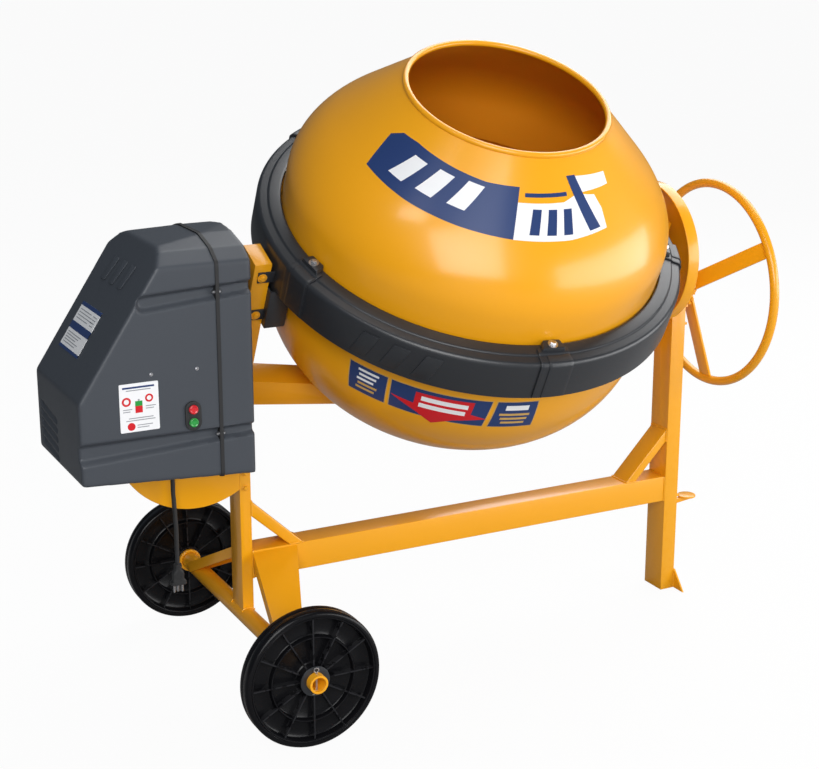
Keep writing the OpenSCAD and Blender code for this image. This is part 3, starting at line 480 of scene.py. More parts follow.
def round_edges(made, width, segments=3, shade=35):
    """Rounds an object's edges by a width in metres."""
    bevel = made.modifiers.new("rounding", "BEVEL")
    bevel.width = width
    bevel.segments = segments
    bevel.limit_method = "ANGLE"
    bevel.angle_limit = math.radians(30)
    bevel.use_clamp_overlap = True
    bevel.miter_outer = "MITER_ARC"
    return bake_modifiers(made, shade)


def add_prism(form, outline, near, far, material=0):
    """A solid between two copies of an outline, each placed in space by its own function."""
    a = [form.verts.new(near(p)) for p in outline]
    b = [form.verts.new(far(p)) for p in outline]
    count = len(outline)
    faces = [form.faces.new(a[::-1]), form.faces.new(b)]
    faces += [form.faces.new((a[k], a[(k + 1) % count], b[(k + 1) % count], b[k])) for k in range(count)]
    for face in faces:
        face.material_index = material


def outwards(form, within=1e-4):
    """Merges points that lie within a distance and turns all faces outwards."""
    bmesh.ops.remove_doubles(form, verts=form.verts, dist=within)
    bmesh.ops.recalc_face_normals(form, faces=form.faces)
    return form


def circle(radius, count, x=0.0, y=0.0):
    """Evenly spaced points on a circle, as pairs."""
    turns = [2 * math.pi * k / count for k in range(count)]
    return [(x + radius * math.cos(t), y + radius * math.sin(t)) for t in turns]


def rounded(points, radius, steps=4):
    """An outline with its corners rounded, radius one number or one for each corner."""
    made = []
    count = len(points)
    radii = [radius] * count if isinstance(radius, (int, float)) else radius
    for k in range(count):
        here = Vector(points[k])
        back = Vector(points[k - 1]) - here
        ahead = Vector(points[(k + 1) % count]) - here
        r = min(radii[k], back.length * 0.45, ahead.length * 0.45)
        if r <= 0:
            made.append(tuple(here))
            continue
        a = here + back.normalized() * r
        b = here + ahead.normalized() * r
        for i in range(steps + 1):
            t = i / steps
            made.append(tuple((1 - t) ** 2 * a + 2 * t * (1 - t) * here + t ** 2 * b))
    return made


def add_revolve(form, profile, steps, start=0.0, sweep=360.0, materials=None):
    """Turns a closed profile of (radius, height) about Z. A part turn gets end faces."""
    whole = sweep >= 360
    rings = steps if whole else steps + 1
    grid = []
    for k in range(rings):
        turn = math.radians(start + sweep * k / steps)
        grid.append([form.verts.new((r * math.cos(turn), r * math.sin(turn), u)) for r, u in profile])
    count = len(profile)
    for k in range(steps):
        a, b = grid[k], grid[(k + 1) % rings]
        for i in range(count):
            j = (i + 1) % count
            if profile[i][0] == 0 and profile[j][0] == 0:
                continue
            face = form.faces.new((a[i], b[i], b[j], a[j]))
            face.material_index = materials[i] if materials else 0
    if not whole:
        form.faces.new(grid[0])
        form.faces.new(grid[-1][::-1])


def add_bar(form, path, radius, closed=False):
    """A round bar along a list of points."""
    sides = 8
    points = [Vector(p) for p in path]
    count = len(points)
    rings = []
    normal = None
    for k, here in enumerate(points):
        ahead = points[(k + 1) % count] if closed or k < count - 1 else here
        behind = points[k - 1] if closed or k else here
        along = (ahead - behind).normalized()
        if normal is None:
            normal = along.orthogonal().normalized()
        normal = (normal - along * normal.dot(along)).normalized()
        side = along.cross(normal)
        rings.append([form.verts.new(here + normal * a + side * b) for a, b in circle(radius, sides)])
    for k in range(count if closed else count - 1):
        a, b = rings[k], rings[(k + 1) % count]
        for i in range(sides):
            j = (i + 1) % sides
            form.faces.new((a[i], a[j], b[j], b[i]))
    if not closed:
        form.faces.new(rings[0][::-1])
        form.faces.new(rings[-1])


def from_node(name, width, slot, segments=3, inset=0.0):
    """A copy of a CAD node's shape with rounded edges and its finish, standing for the node."""
    shade = 32
    flat_within = math.radians(0.6)
    form = bmesh.new()
    form.from_mesh(frame["nodes"][name].data)
    bmesh.ops.remove_doubles(form, verts=form.verts, dist=2e-6)
    bmesh.ops.dissolve_limit(form, angle_limit=flat_within, verts=form.verts, edges=form.edges)
    if inset:
        form.normal_update()
        for vert, normal in [(v, v.normal.copy()) for v in form.verts]:
            vert.co -= normal * inset
    body = body_of(frame["nodes"][name])[0]
    made = piece(name + "_finished", form, Matrix.Identity(4), [FINISHES[slot]()], angle=shade)
    round_edges(made, width, segments, shade=shade)
    settle(made, body, [name])
    return made


# ------------------------------------------------------------------------------ Geometry Nodes trees


def gn_tree(name, sockets):
    """A Geometry Nodes tree, as (tree, inputs by name, function that ends it)."""
    tree, entry, leave = new_group(
        name, "GeometryNodeTree",
        [("Geometry", "NodeSocketGeometry", None), *sockets, ("Material", "NodeSocketMaterial", None)],
        [("Geometry", "NodeSocketGeometry")])
    tree.is_modifier = True

    def end(geometry):
        whole = node(tree, "GeometryNodeRealizeInstances", Geometry=geometry)
        dressed = node(tree, "GeometryNodeSetMaterial", Geometry=whole.outputs["Geometry"],
                       Material=entry["Material"])
        link(tree, dressed.outputs["Geometry"], leave.inputs["Geometry"])
        return tree

    return tree, entry, end


def shifted(tree, geometry, z):
    offset = node(tree, "ShaderNodeCombineXYZ", Z=z)
    moved = node(tree, "GeometryNodeTransform", Geometry=geometry, Translation=offset.outputs[0])
    return moved.outputs["Geometry"]


def join(tree, *parts):
    made = tree.nodes.new("GeometryNodeJoinGeometry")
    for part in parts:
        link(tree, part, made.inputs[0])
    return made.outputs[0]


def bolt_tree():
    """A hexagon bolt with its washer on each point, turned along the point's aim."""
    tree, entry, end = gn_tree("hexagon_bolts", [
        ("Head Radius", "NodeSocketFloat", 0.007),
        ("Head Height", "NodeSocketFloat", 0.005),
        ("Washer Radius", "NodeSocketFloat", 0.010),
        ("Washer Thickness", "NodeSocketFloat", 0.0015),
        ("Sides", "NodeSocketInt", 6),
    ])
    washer = node(tree, "GeometryNodeMeshCylinder", Vertices=28, Radius=entry["Washer Radius"],
                  Depth=entry["Washer Thickness"])
    washer_up = shifted(tree, washer.outputs["Mesh"], maths(tree, "MULTIPLY", entry["Washer Thickness"], 0.5))
    straight = 0.72
    shank = maths(tree, "MULTIPLY", entry["Head Height"], straight)
    head = node(tree, "GeometryNodeMeshCylinder", Vertices=entry["Sides"], Radius=entry["Head Radius"],
                Depth=shank)
    head_up = shifted(tree, head.outputs["Mesh"],
                      maths(tree, "MULTIPLY_ADD", shank, 0.5, entry["Washer Thickness"]))
    crown = node(tree, "GeometryNodeMeshCone", Vertices=entry["Sides"], Radius_Bottom=entry["Head Radius"],
                 Radius_Top=maths(tree, "MULTIPLY", entry["Head Radius"], 0.72),
                 Depth=maths(tree, "MULTIPLY", entry["Head Height"], 1 - straight))
    crown_up = shifted(tree, crown.outputs["Mesh"], maths(tree, "ADD", shank, entry["Washer Thickness"]))
    aim = node(tree, "GeometryNodeInputNamedAttribute", Name="aim")
    aim.data_type = "FLOAT_VECTOR"
    turn = tree.nodes.new("FunctionNodeAlignRotationToVector")
    turn.axis = "Z"
    link(tree, aim.outputs["Attribute"], turn.inputs["Vector"])
    placed = node(tree, "GeometryNodeInstanceOnPoints", Points=entry["Geometry"],
                  Instance=join(tree, washer_up, head_up, crown_up), Rotation=turn.outputs["Rotation"])
    return end(placed.outputs["Instances"])


def weld_tree():
    """A rippled weld bead along each edge."""
    tree, entry, end = gn_tree("weld_beads", [
        ("Bead Radius", "NodeSocketFloat", 0.003),
        ("Ripple", "NodeSocketFloat", 0.003),
        ("Seed", "NodeSocketInt", 3),
    ])
    curve = node(tree, "GeometryNodeMeshToCurve", Mesh=entry["Geometry"])
    fine = node(tree, "GeometryNodeResampleCurve", Curve=curve.outputs["Curve"])
    fine.mode = "LENGTH"
    link(tree, maths(tree, "MULTIPLY", entry["Ripple"], 0.34), fine.inputs["Length"])
    along = node(tree, "GeometryNodeSplineParameter")
    wave = maths(tree, "ABSOLUTE", maths(tree, "SINE", maths(
        tree, "DIVIDE", maths(tree, "MULTIPLY", along.outputs["Length"], math.pi), entry["Ripple"])))
    uneven = tree.nodes.new("FunctionNodeRandomValue")
    uneven.data_type = "FLOAT"
    uneven.inputs[2].default_value = 0.82
    uneven.inputs[3].default_value = 1.08
    link(tree, entry["Seed"], uneven.inputs["Seed"])
    size = maths(tree, "MULTIPLY", maths(tree, "MULTIPLY_ADD", wave, 0.24, 0.78), uneven.outputs[1])
    ring = node(tree, "GeometryNodeCurvePrimitiveCircle", Resolution=10, Radius=entry["Bead Radius"])
    sized = node(tree, "GeometryNodeSetCurveRadius", Curve=fine.outputs["Curve"], Radius=size)
    bead = node(tree, "GeometryNodeCurveToMesh", Curve=sized.outputs["Curve"],
                Profile_Curve=ring.outputs["Curve"], Fill_Caps=True)
    if "Scale" in bead.inputs:
        link(tree, size, bead.inputs["Scale"])
    return end(bead.outputs["Mesh"])


def rib_tree():
    """Radial ribs round a hub, on the mesh's one point."""
    tree, entry, end = gn_tree("wheel_ribs", [
        ("Count", "NodeSocketInt", 12),
        ("Inner Radius", "NodeSocketFloat", 0.03),
        ("Outer Radius", "NodeSocketFloat", 0.14),
        ("Thickness", "NodeSocketFloat", 0.004),
        ("Depth", "NodeSocketFloat", 0.036),
    ])
    middle_r = maths(tree, "MULTIPLY", maths(tree, "ADD", entry["Inner Radius"], entry["Outer Radius"]), 0.5)
    stations = node(tree, "GeometryNodeMeshCircle", Vertices=entry["Count"], Radius=middle_r)
    reach = maths(tree, "SUBTRACT", entry["Outer Radius"], entry["Inner Radius"])
    size = node(tree, "ShaderNodeCombineXYZ", X=reach, Y=entry["Thickness"], Z=entry["Depth"])
    bar = node(tree, "GeometryNodeMeshCube", Size=size.outputs[0], Vertices_X=6, Vertices_Y=2, Vertices_Z=2)
    place = node(tree, "GeometryNodeInputPosition")
    turn = tree.nodes.new("FunctionNodeAlignRotationToVector")
    turn.axis = "X"
    link(tree, place.outputs["Position"], turn.inputs["Vector"])
    placed = node(tree, "GeometryNodeInstanceOnPoints", Points=stations.outputs["Mesh"],
                  Instance=bar.outputs["Mesh"], Rotation=turn.outputs["Rotation"])
    return end(placed.outputs["Instances"])


def helix_tree():
    """A coil spring that stands on the origin."""
    tree, entry, end = gn_tree("coil_spring", [
        ("Turns", "NodeSocketFloat", 12.0),
        ("Coil Radius", "NodeSocketFloat", 0.01),
        ("Wire Radius", "NodeSocketFloat", 0.0015),
        ("Height", "NodeSocketFloat", 0.08),
    ])
    coil = node(tree, "GeometryNodeCurveSpiral", Resolution=28, Rotations=entry["Turns"],
                Start_Radius=entry["Coil Radius"], End_Radius=entry["Coil Radius"], Height=entry["Height"])
    ring = node(tree, "GeometryNodeCurvePrimitiveCircle", Resolution=10, Radius=entry["Wire Radius"])
    wire = node(tree, "GeometryNodeCurveToMesh", Curve=coil.outputs["Curve"],
                Profile_Curve=ring.outputs["Curve"], Fill_Caps=True)
    return end(wire.outputs["Mesh"])


TREES = {}


def run_tree(name, tree_name, base, place, material, body, slot, stands_for=(), angle=35, **values):
    """Runs a Geometry Nodes tree on a base mesh and keeps the result as a plain mesh on its body."""
    if tree_name not in TREES:
        TREES[tree_name] = {
            "bolts": bolt_tree, "welds": weld_tree, "ribs": rib_tree, "helix": helix_tree}[tree_name]()
    tree = TREES[tree_name]
    holder = bpy.data.objects.new(name, base)
    bpy.context.scene.collection.objects.link(holder)
    modifier = holder.modifiers.new(tree_name, "NODES")
    modifier.node_group = tree
    values["Material"] = material
    sockets = {s.name: s.identifier for s in tree.interface.items_tree if s.in_out == "INPUT"}
    for label, value in values.items():
        modifier[sockets[label.replace("_", " ")]] = value
    bake_modifiers(holder, angle)
    form = bmesh.new()
    form.from_mesh(holder.data)
    outwards(form, 1e-7)
    form.transform(place)
    form.to_mesh(holder.data)
    form.free()
    smooth(holder.data, angle)
    settle(holder, body, stands_for)


def points_mesh(name, rows, place):
    """A mesh of loose points with an aim each, from (point, aim) rows in millimetres."""
    mesh = bpy.data.meshes.new(name)
    mesh.from_pydata([place @ Vector(p) for p, _ in rows], [], [])
    aims = mesh.attributes.new("aim", "FLOAT_VECTOR", "POINT")
    turn = place.to_3x3().normalized()
    for row, (_, aim) in zip(aims.data, rows):
        row.vector = (turn @ Vector(aim)).normalized()
    return mesh


def origin_mesh(name):
    """A mesh of one point at the origin, for a tree that needs no other."""
    mesh = bpy.data.meshes.new(name)
    mesh.from_pydata([(0, 0, 0)], [], [])
    return mesh


def edges_mesh(name, lines, place):
    """A mesh of lines, from lists of points in millimetres."""
    points, edges = [], []
    for line in lines:
        first = len(points)
        points += [place @ Vector(p) for p in line]
        edges += [(first + k, first + k + 1) for k in range(len(line) - 1)]
    mesh = bpy.data.meshes.new(name)
    mesh.from_pydata(points, edges, [])
    return mesh


def bolts(name, rows, place, body, slot="steel", head=None, height=0.0048, washer=1.55, thickness=0.0014,
          stands_for=()):
    """Hexagon bolts from (point, aim) rows. The washer's radius is a multiple of the head's."""
    head = head or sizes().bolt_head
    run_tree(name, "bolts", points_mesh(name, rows, place), Matrix.Identity(4), FINISHES[slot](), body, slot,
             stands_for, Head_Radius=head, Head_Height=height, Washer_Radius=head * washer,
             Washer_Thickness=thickness, Sides=6)


def welds(name, lines, place, body, radius=1.0):
    """Weld beads along lines, their radius a multiple of the usual one."""
    run_tree(name, "welds", edges_mesh(name, lines, place), Matrix.Identity(4), yellow_paint(), body,
             "yellow_paint", angle=60, Bead_Radius=sizes().weld_bead * radius, Ripple=0.0042, Seed=7)


# ----------------------------------------------------------------------------------- shapes by rule

# The drum in drum coordinates: the bowl is a superellipse below its wall, the cone a slope whose two ends are
# (radius, height) and a shoulder that curves down into its straight side. Both are one sheet thick.
BOWL_R = 460.0
BOWL_WALL = -10.0
DRUM_STEPS = 192
MOUTH_BEAD = 7.0
BOWL_DEPTH = 363.0
BOWL_POWER = 2.16
BOWL_FLAT = 90.0
JOINT_U = 110.0
CONE_R = 447.7
CONE_SIDE_U = 207.0
SLOPE = ((369.0, 356.0), (230.0, 487.0))
SHEET = 3.0
FRAME_NODES = {
    "main_beam": "tube", "wheel_post": "tube", "leg_post": "tube", "leg_brace": "tube", "post_brace": "tube",
    "axle_gussets": "plate", "axle_tube": "plate", "foot_plate": "plate", "motor_plate": "plate",
    "axle_collars": "plate", "rod_guides": "plate",
}


def bowl_u(r):
    """Height of the bowl's outside at a radius."""
    share = min(1.0, r / BOWL_R)
    return BOWL_WALL - (BOWL_DEPTH + BOWL_WALL) * (1 - share ** BOWL_POWER) ** (1 / BOWL_POWER)


def bowl_r(u):
    """Radius of the bowl's outside at a height."""
    if u >= BOWL_WALL:
        return BOWL_R
    share = (BOWL_WALL - u) / (BOWL_DEPTH + BOWL_WALL)
    return BOWL_R * (1 - share ** BOWL_POWER) ** (1 / BOWL_POWER)


def shoulder():
    """The cone's curve from its straight slope to its straight side."""
    steps = 16
    (r0, u0), (r1, u1) = SLOPE
    corner = u0 - (CONE_R - r0) * (u1 - u0) / (r0 - r1)
    line = []
    for k in range(steps + 1):
        s = k / steps
        line.append((
            (1 - s) ** 2 * r0 + 2 * s * (1 - s) * CONE_R + s * s * CONE_R,
            (1 - s) ** 2 * u0 + 2 * s * (1 - s) * corner + s * s * CONE_SIDE_U))
    return line


def cone_point(u):
    """Radius of the cone's outside at a height."""
    (r0, u0), (r1, u1) = SLOPE
    if u >= u0:
        return r0 + (u - u0) * (r1 - r0) / (u1 - u0)
    line = shoulder()
    for (ra, ua), (rb, ub) in zip(line, line[1:]):
        if ub <= u <= ua:
            return ra + (ua - u) * (rb - ra) / (ua - ub)
    return CONE_R


# ------------------------------------------------------------------------------------------ operators


def heading(azimuth, elevation):
    """The direction out from the object at an azimuth and an elevation in radians."""
    level = math.cos(elevation)
    return Vector((math.sin(azimuth) * level, -math.cos(azimuth) * level, math.sin(elevation)))


class MIXER_OT_stage(bpy.types.Operator):
    """The camera, the pale floor and the studio lights"""
    bl_idname = "mixer.stage"
    bl_label = "Stage"

    def execute(self, context):
        stage = context.scene.mixer_stage
        data = bpy.data.cameras.new("studio_camera")
        data.lens = stage.lens
        data.sensor_width = 36
        data.clip_end = 400
        camera = bpy.data.objects.new("studio_camera", data)
        back = heading(stage.azimuth, stage.elevation)
        camera.location = stage.place
        camera.rotation_mode = "QUATERNION"
        camera.rotation_quaternion = (-back).to_track_quat("-Z", "Y")
        context.scene.collection.objects.link(camera)
        context.scene.camera = camera
        context.scene.view_settings.view_transform = "Standard"
        self.floor(context, stage)
        self.lights(context, stage.azimuth)
        return {"FINISHED"}

    def floor(self, context, stage):
        form = bmesh.new()
        bmesh.ops.create_grid(form, x_segments=12, y_segments=12, size=stage.floor_size / 2)
        mesh = bpy.data.meshes.new("studio_floor")
        form.to_mesh(mesh)
        form.free()
        mesh.materials.append(self.floor_paint())
        made = bpy.data.objects.new("studio_floor", mesh)
        context.scene.collection.objects.link(made)

    def floor_paint(self):
        """A pale floor that reads as almost white, as a lit studio sweep does."""
        made = finish("studio_floor", tuple(colours().floor), 0.75, tone=0.02, tone_scale=0.6, grain=40,
                      relief=0.03)
        tree = made.node_tree
        sweep = node(tree, "ShaderNodeEmission", Strength=1.06)
        camera_mix(tree, 0.9, tree.nodes["Principled BSDF"], sweep, tree.nodes["Material Output"])
        return made

    def lights(self, context, azimuth):
        """Softboxes round the object: name, turn from the camera, height, distance, width, squat, power."""
        target = Vector((0, 0, 0.75))
        for name, turn, height, distance, size, squat, power in (
                ("key_softbox", 4, 22, 5.6, 3.4, 1.0, 240),
                ("wall_softbox", 80, 4, 4.8, 6.0, 0.3, 175),
                ("rear_softbox", 150, 44, 5.0, 4.6, 1.0, 245),
                ("top_softbox", 60, 84, 4.2, 1.6, 1.0, 16),
                ("shoulder_strip", -27, 44, 4.2, 0.9, 0.4, 12)):
            data = bpy.data.lights.new(name, "AREA")
            data.shape = "RECTANGLE"
            data.size = size
            data.size_y = size * squat
            data.energy = power
            light = bpy.data.objects.new(name, data)
            way = heading(azimuth + math.radians(turn), math.radians(height))
            light.location = target + way * distance
            light.rotation_mode = "QUATERNION"
            light.rotation_quaternion = (-way).to_track_quat("-Z", "Y")
            context.scene.collection.objects.link(light)
        world = bpy.data.worlds.new("studio_air")
        world.use_nodes = True
        tree = world.node_tree
        air = tree.nodes["Background"]
        air.inputs["Color"].default_value = (0.70, 0.84, 1, 1)
        air.inputs["Strength"].default_value = 0.12
        backdrop = node(tree, "ShaderNodeBackground", Color=(1, 1, 1, 1), Strength=1.0)
        camera_mix(tree, 1.0, air, backdrop, tree.nodes["World Output"])
        context.scene.world = world


CORD_R = 5.0
PLUG_LENGTH = 50.0
PIN_PITCH = 9.5
EARTH_PIN_SHIFT = 3.0
CORD_ROUTE = [
    (-184, -70, 558), (-184, -70, 550), (-184, -70, 540), (-184, -70, 528), (-184, -70, 516),
    (-184, -70, 502), (-183, -70, 488), (-183, -71, 474), (-182, -71, 460), (-182, -72, 444),
    (-181, -72, 428), (-181, -72, 412), (-181, -72, 396), (-181, -72, 380), (-181, -72, 364),
    (-181, -72, 350), (-181, -72, 338)]


class MIXER_OT_cord(bpy.types.Operator):
    """The lead that hangs from the motor cover, its gland and its plug"""
    bl_idname = "mixer.cord"
    bl_label = "Lead and plug"

    def execute(self, context):
        route = [LOCAL @ Vector(p) for p in CORD_ROUTE]
        curve = bpy.data.curves.new("lead", "CURVE")
        curve.dimensions = "3D"
        curve.bevel_depth = CORD_R * MM
        curve.bevel_resolution = 6
        curve.use_fill_caps = True
        spline = curve.splines.new("POLY")
        spline.points.add(len(route) - 1)
        for point, place in zip(spline.points, route):
            point.co = (*place, 1)
        spline.use_smooth = True
        curve.materials.append(rubber())
        lead = bpy.data.objects.new("lead", curve)
        context.scene.collection.objects.link(lead)
        plug = self.plug()
        pins = self.pins()
        gland = self.gland()
        settle(lead, "frame", ["power_cord"])
        return {"FINISHED"}

    def plug(self):
        """A moulded plug: a tapered neck with grip rings, waisted sides and a rim round its face."""
        x, y, top = CORD_ROUTE[-1]
        face = top - PLUG_LENGTH
        form = bmesh.new()
        waist = [(PLUG_LENGTH, 8.2, 8.2), (44, 8.6, 8.6), (36, 9, 9), (31, 12.5, 9), (24, 14.2, 8.2),
                 (16, 13.2, 8), (9, 15, 8.6), (8, 18, 9.6), (0.6, 18.6, 9.8), (0, 18, 9.2)]
        neck_from, square = 33, 0.55
        sides = 40
        rings = []
        for u, wide, thick in waist:
            power = 1.0 if u > neck_from else square
            rings.append([form.verts.new((
                x + wide * math.copysign(abs(c) ** power, c), y + thick * math.copysign(abs(s) ** power, s),
                face + u)) for c, s in circle(1, sides)])
        for a, b in zip(rings, rings[1:]):
            for k in range(sides):
                j = (k + 1) % sides
                form.faces.new((a[k], a[j], b[j], b[k]))
        form.faces.new(rings[0])
        form.faces.new(rings[-1][::-1])
        grip = 0.9
        for side in (-1, 1):
            for k in range(5):
                u = face + 12 + 3.4 * k
                add_bar(form, [(x - 7, y + side * 7.9, u), (x + 7, y + side * 7.9, u)], grip)
        for k in range(3):
            u = face + 38 + 4 * k
            add_bar(form, [(a, b, u) for a, b in circle(8.6, 32, x, y)], grip, closed=True)
        return piece("plug", outwards(form), LOCAL, [rubber()], "frame", ["plug_body"])

    def pins(self):
        x, y, _ = CORD_ROUTE[-1]
        low, high = local_box("plug_pins")
        form = bmesh.new()
        r, tip = 2.4, 1.2
        for k, shift in ((-1, 0), (0, EARTH_PIN_SHIFT), (1, 0)):
            one = bmesh.new()
            add_revolve(one, [(0, low.z), (tip, low.z), (r, low.z + tip), (r, high.z), (0, high.z)], 20)
            one.transform(Matrix.Translation((x + k * PIN_PITCH, y + shift, 0)))
            merge(form, one)
        return piece("plug_pins_finished", outwards(form), LOCAL, [steel()], "frame", ["plug_pins"])

    def gland(self):
        """A tapered strain relief with bending rings and a plain round collar at its top."""
        x, y, z = CORD_ROUTE[0]
        top = local_box("cord_gland")[1].z
        line = [(5.2, z), (6.4, z), (6.7, z + 1)]
        for k in range(3):
            u = z + 2.4 + 3 * k
            groove, ridge = 6.0 + 0.3 * k, 7.2 + 0.4 * k
            line += [(groove, u), (groove, u + 0.8), (ridge, u + 1.2), (ridge, u + 2.2)]
        line += [(8.7, z + 14), (8.7, top), (5.2, top)]
        form = bmesh.new()
        add_revolve(form, line, 36)
        form.transform(Matrix.Translation((x, y, 0)))
        return piece("lead_gland", outwards(form), LOCAL, [rubber()], "frame", ["cord_gland"])


def merge(form, other):
    """Adds one bmesh to another."""
    mesh = bpy.data.meshes.new("part")
    other.to_mesh(mesh)
    other.free()
    form.from_mesh(mesh)
    bpy.data.meshes.remove(mesh)


class MIXER_OT_frame_tubes(bpy.types.Operator):
    """The welded frame: its tubes, braces and plates with rounded edges"""
    bl_idname = "mixer.frame_tubes"
    bl_label = "Frame"

    def execute(self, context):
        width = {"tube": sizes().tube_round, "plate": sizes().plate_round}
        for name, kind in FRAME_NODES.items():
            from_node(name, width[kind], "yellow_paint")
        for name in ("trunnion_bearings", "handwheel_bushes"):
            from_node(name, 0.0012, "cast_iron")
        return {"FINISHED"}


class MIXER_OT_frame_welds(bpy.types.Operator):
    """Weld beads where the frame's tubes and plates meet"""
    bl_idname = "mixer.frame_welds"
    bl_label = "Frame welds"

    def execute(self, context):
        lines = []
        (bx0, by0, bz0), (bx1, by1, bz1) = local_box("main_beam")
        (_, py0, _), (_, py1, _) = local_box("wheel_post")
        (_, ly0, _), (_, ly1, _) = local_box("leg_post")
        seat = 0.8
        gap = 3.0
        for x in (bx0 + seat, bx1 - seat):
            lines += [[(x, y, bz0), (x, y, bz1)] for y in (by0, by1)]
            lines.append([(x, by0 + gap, bz0), (x, by1 - gap, bz0)])
        for name, foot in (("leg_brace", 31), ("post_brace", -36)):
            (x0, y0, z0), (x1, y1, z1) = local_box(name)
            near, far = (x0, x1 - seat) if foot > 0 else (x1, x0 + seat)
            low = z0 + 0.6
            for y in (y0, y1):
                lines.append([(near, y, low), (near + foot, y, low)])
                lines.append([(far, y, z1 - 35), (far, y, z1)])
            lines.append([(near, y0 + gap, low), (near, y1 - gap, low)])
            lines.append([(far, y0 + gap, z1), (far, y1 - gap, z1)])
        height = (middle("axle_tube").z - ORIGIN.z) / MM
        r = 22.0
        over_axle = [math.radians(-48 + 4 * k) for k in range(25)]
        for y in (py0, py1):
            lines.append([(r * math.sin(t), y, height + r * math.cos(t)) for t in over_axle])
        (foot_x, _, foot_low), (_, _, foot_high) = local_box("foot_plate")
        for y in (ly0, ly1):
            lines.append([(foot_x + 0.5, y, foot_low + gap), (foot_x + 0.5, y, foot_high - 2)])
        welds("frame_weld_beads", lines, LOCAL, "frame")
        return {"FINISHED"}


class MIXER_OT_wheels(bpy.types.Operator):
    """Both road wheels: hard tyre, rim, web and hub, with ribs on both sides"""
    bl_idname = "mixer.wheels"
    bl_label = "Wheels"

    def execute(self, context):
        for name in ("wheel_front", "wheel_rear"):
            low, high = local_box(name)
            width = high.y - low.y
            place = (LOCAL @ Matrix.Translation((0, (low.y + high.y) / 2, (low.z + high.z) / 2))
                     @ Matrix.Rotation(math.radians(90), 4, "X"))
            self.disc(name, place, (high.z - low.z) / 2, width / 2)
            scale = Matrix.Scale(1 / MM, 4)
            run_tree(name + "_ribs", "ribs", origin_mesh(name + "_ribs"), place @ scale, wheel_plastic(),
                     name, "wheel_plastic", Count=12, Inner_Radius=0.030, Outer_Radius=0.1425, Thickness=0.0034,
                     Depth=(width - 8) * MM)
        return {"FINISHED"}

    def disc(self, name, place, tyre, half):
        """Hub, web, middle ring, rim and tyre as one turned shape."""
        def side(s):
            """One face of the wheel, from the hub to the tyre."""
            return [(21.3, s * half), (32.5, s * half), (33.5, s * (half - 1)), (35, s * 5), (37.5, s * 3),
                    (91, s * 3), (93.2, s * 4.5), (94.6, s * 15), (95.6, s * 16), (97.6, s * 16),
                    (98.6, s * 15), (100, s * 4.5), (102.5, s * 3), (134, s * 3), (138, s * 5.5),
                    (140, s * (half - 3.5)),
                    (141.5, s * (half - 1.4)), (144, s * (half - 0.8)), (145, s * (half - 1.8)),
                    (146.2, s * (half - 0.4)), (149, s * half), (tyre - 5, s * (half - 0.9)),
                    (tyre - 1.9, s * (half - 3.2)), (tyre - 0.3, s * (half - 7)), (tyre, s * (half - 11))]
        form = bmesh.new()
        crown = [(tyre, 2.0), (tyre - 0.5, 1.2), (tyre - 0.5, -1.2), (tyre, -2.0)]
        add_revolve(form, side(1) + crown + side(-1)[::-1], 128)
        piece(name + "_disc", outwards(form), place, [wheel_plastic()], name, [name],
              angle=38)


class MIXER_OT_axle_ends(bpy.types.Operator):
    """Washers and split pins that hold the wheels on the axle"""
    bl_idname = "mixer.axle_ends"
    bl_label = "Axle ends"

    def execute(self, context):
        from_node("axle_washers", 0.0005, "steel").data.materials[0] = guard_plastic()
        low, high = local_box("cotter_pins")
        axle_low, axle_high = local_box("axle_tube")
        height = (axle_low.z + axle_high.z) / 2
        form = bmesh.new()
        wire = 1.15
        top = high.z - 3
        bend = [math.radians(14 + 332 * k / 20) for k in range(21)]
        for y in (low.y + 2.5, high.y - 2.5):
            for side in (-1, 1):
                leg = [(1.1 * side, y, top - 2), (1.1 * side, y, height), (1.2 * side, y, axle_low.z),
                       (2.6 * side, y, axle_low.z - 3), (6.5 * side, y, axle_low.z - 6),
                       (10.5 * side, y, low.z + 2.4)]
                add_bar(form, leg, wire)
            add_bar(form, [(5.4 * math.sin(t), y, top + 2.4 - 5.0 * math.cos(t)) for t in bend], wire)
        piece("split_pins", outwards(form), LOCAL, [steel()], "frame", ["cotter_pins"])
        return {"FINISHED"}


# The cover's side outline as (x, z) and its crown as (y, z). A groove is its two ends and its half width at
# each. Louvres are given by their heights. The grooves on the far side start further in.
COVER_SIDE = [(-22, 556), (-22, 1089), (-212, 1070), (-414, 764), (-414, 582)]
COVER_HALF = 166.0
COVER_SPLIT = -101.0
CROWN = [(-166, 400), (-166, 1036), (-128, 1062), (-60, 1082), (0, 1089), (60, 1082), (128, 1062),
         (166, 1036), (166, 400)]
GROOVES = (((-262, 962), (-20, 978), 21, 16), ((-404, 652), (-18, 660), 27, 14))
GROOVE_DEPTH = 14.0
BEYOND = 1000.0
REAR_GROOVE_SHIFT = 40.0
LOUVRES = [688 - 21 * k for k in range(5)]
LOUVRE_LEAN = 4.5
LOUVRE_Y = 72.0
LOUVRE_HALF = 58.0
LOUVRE_WIDE = 8.5
PANEL_SCREW_X = (-254, -152)
PANEL_SCREW_Z = 811


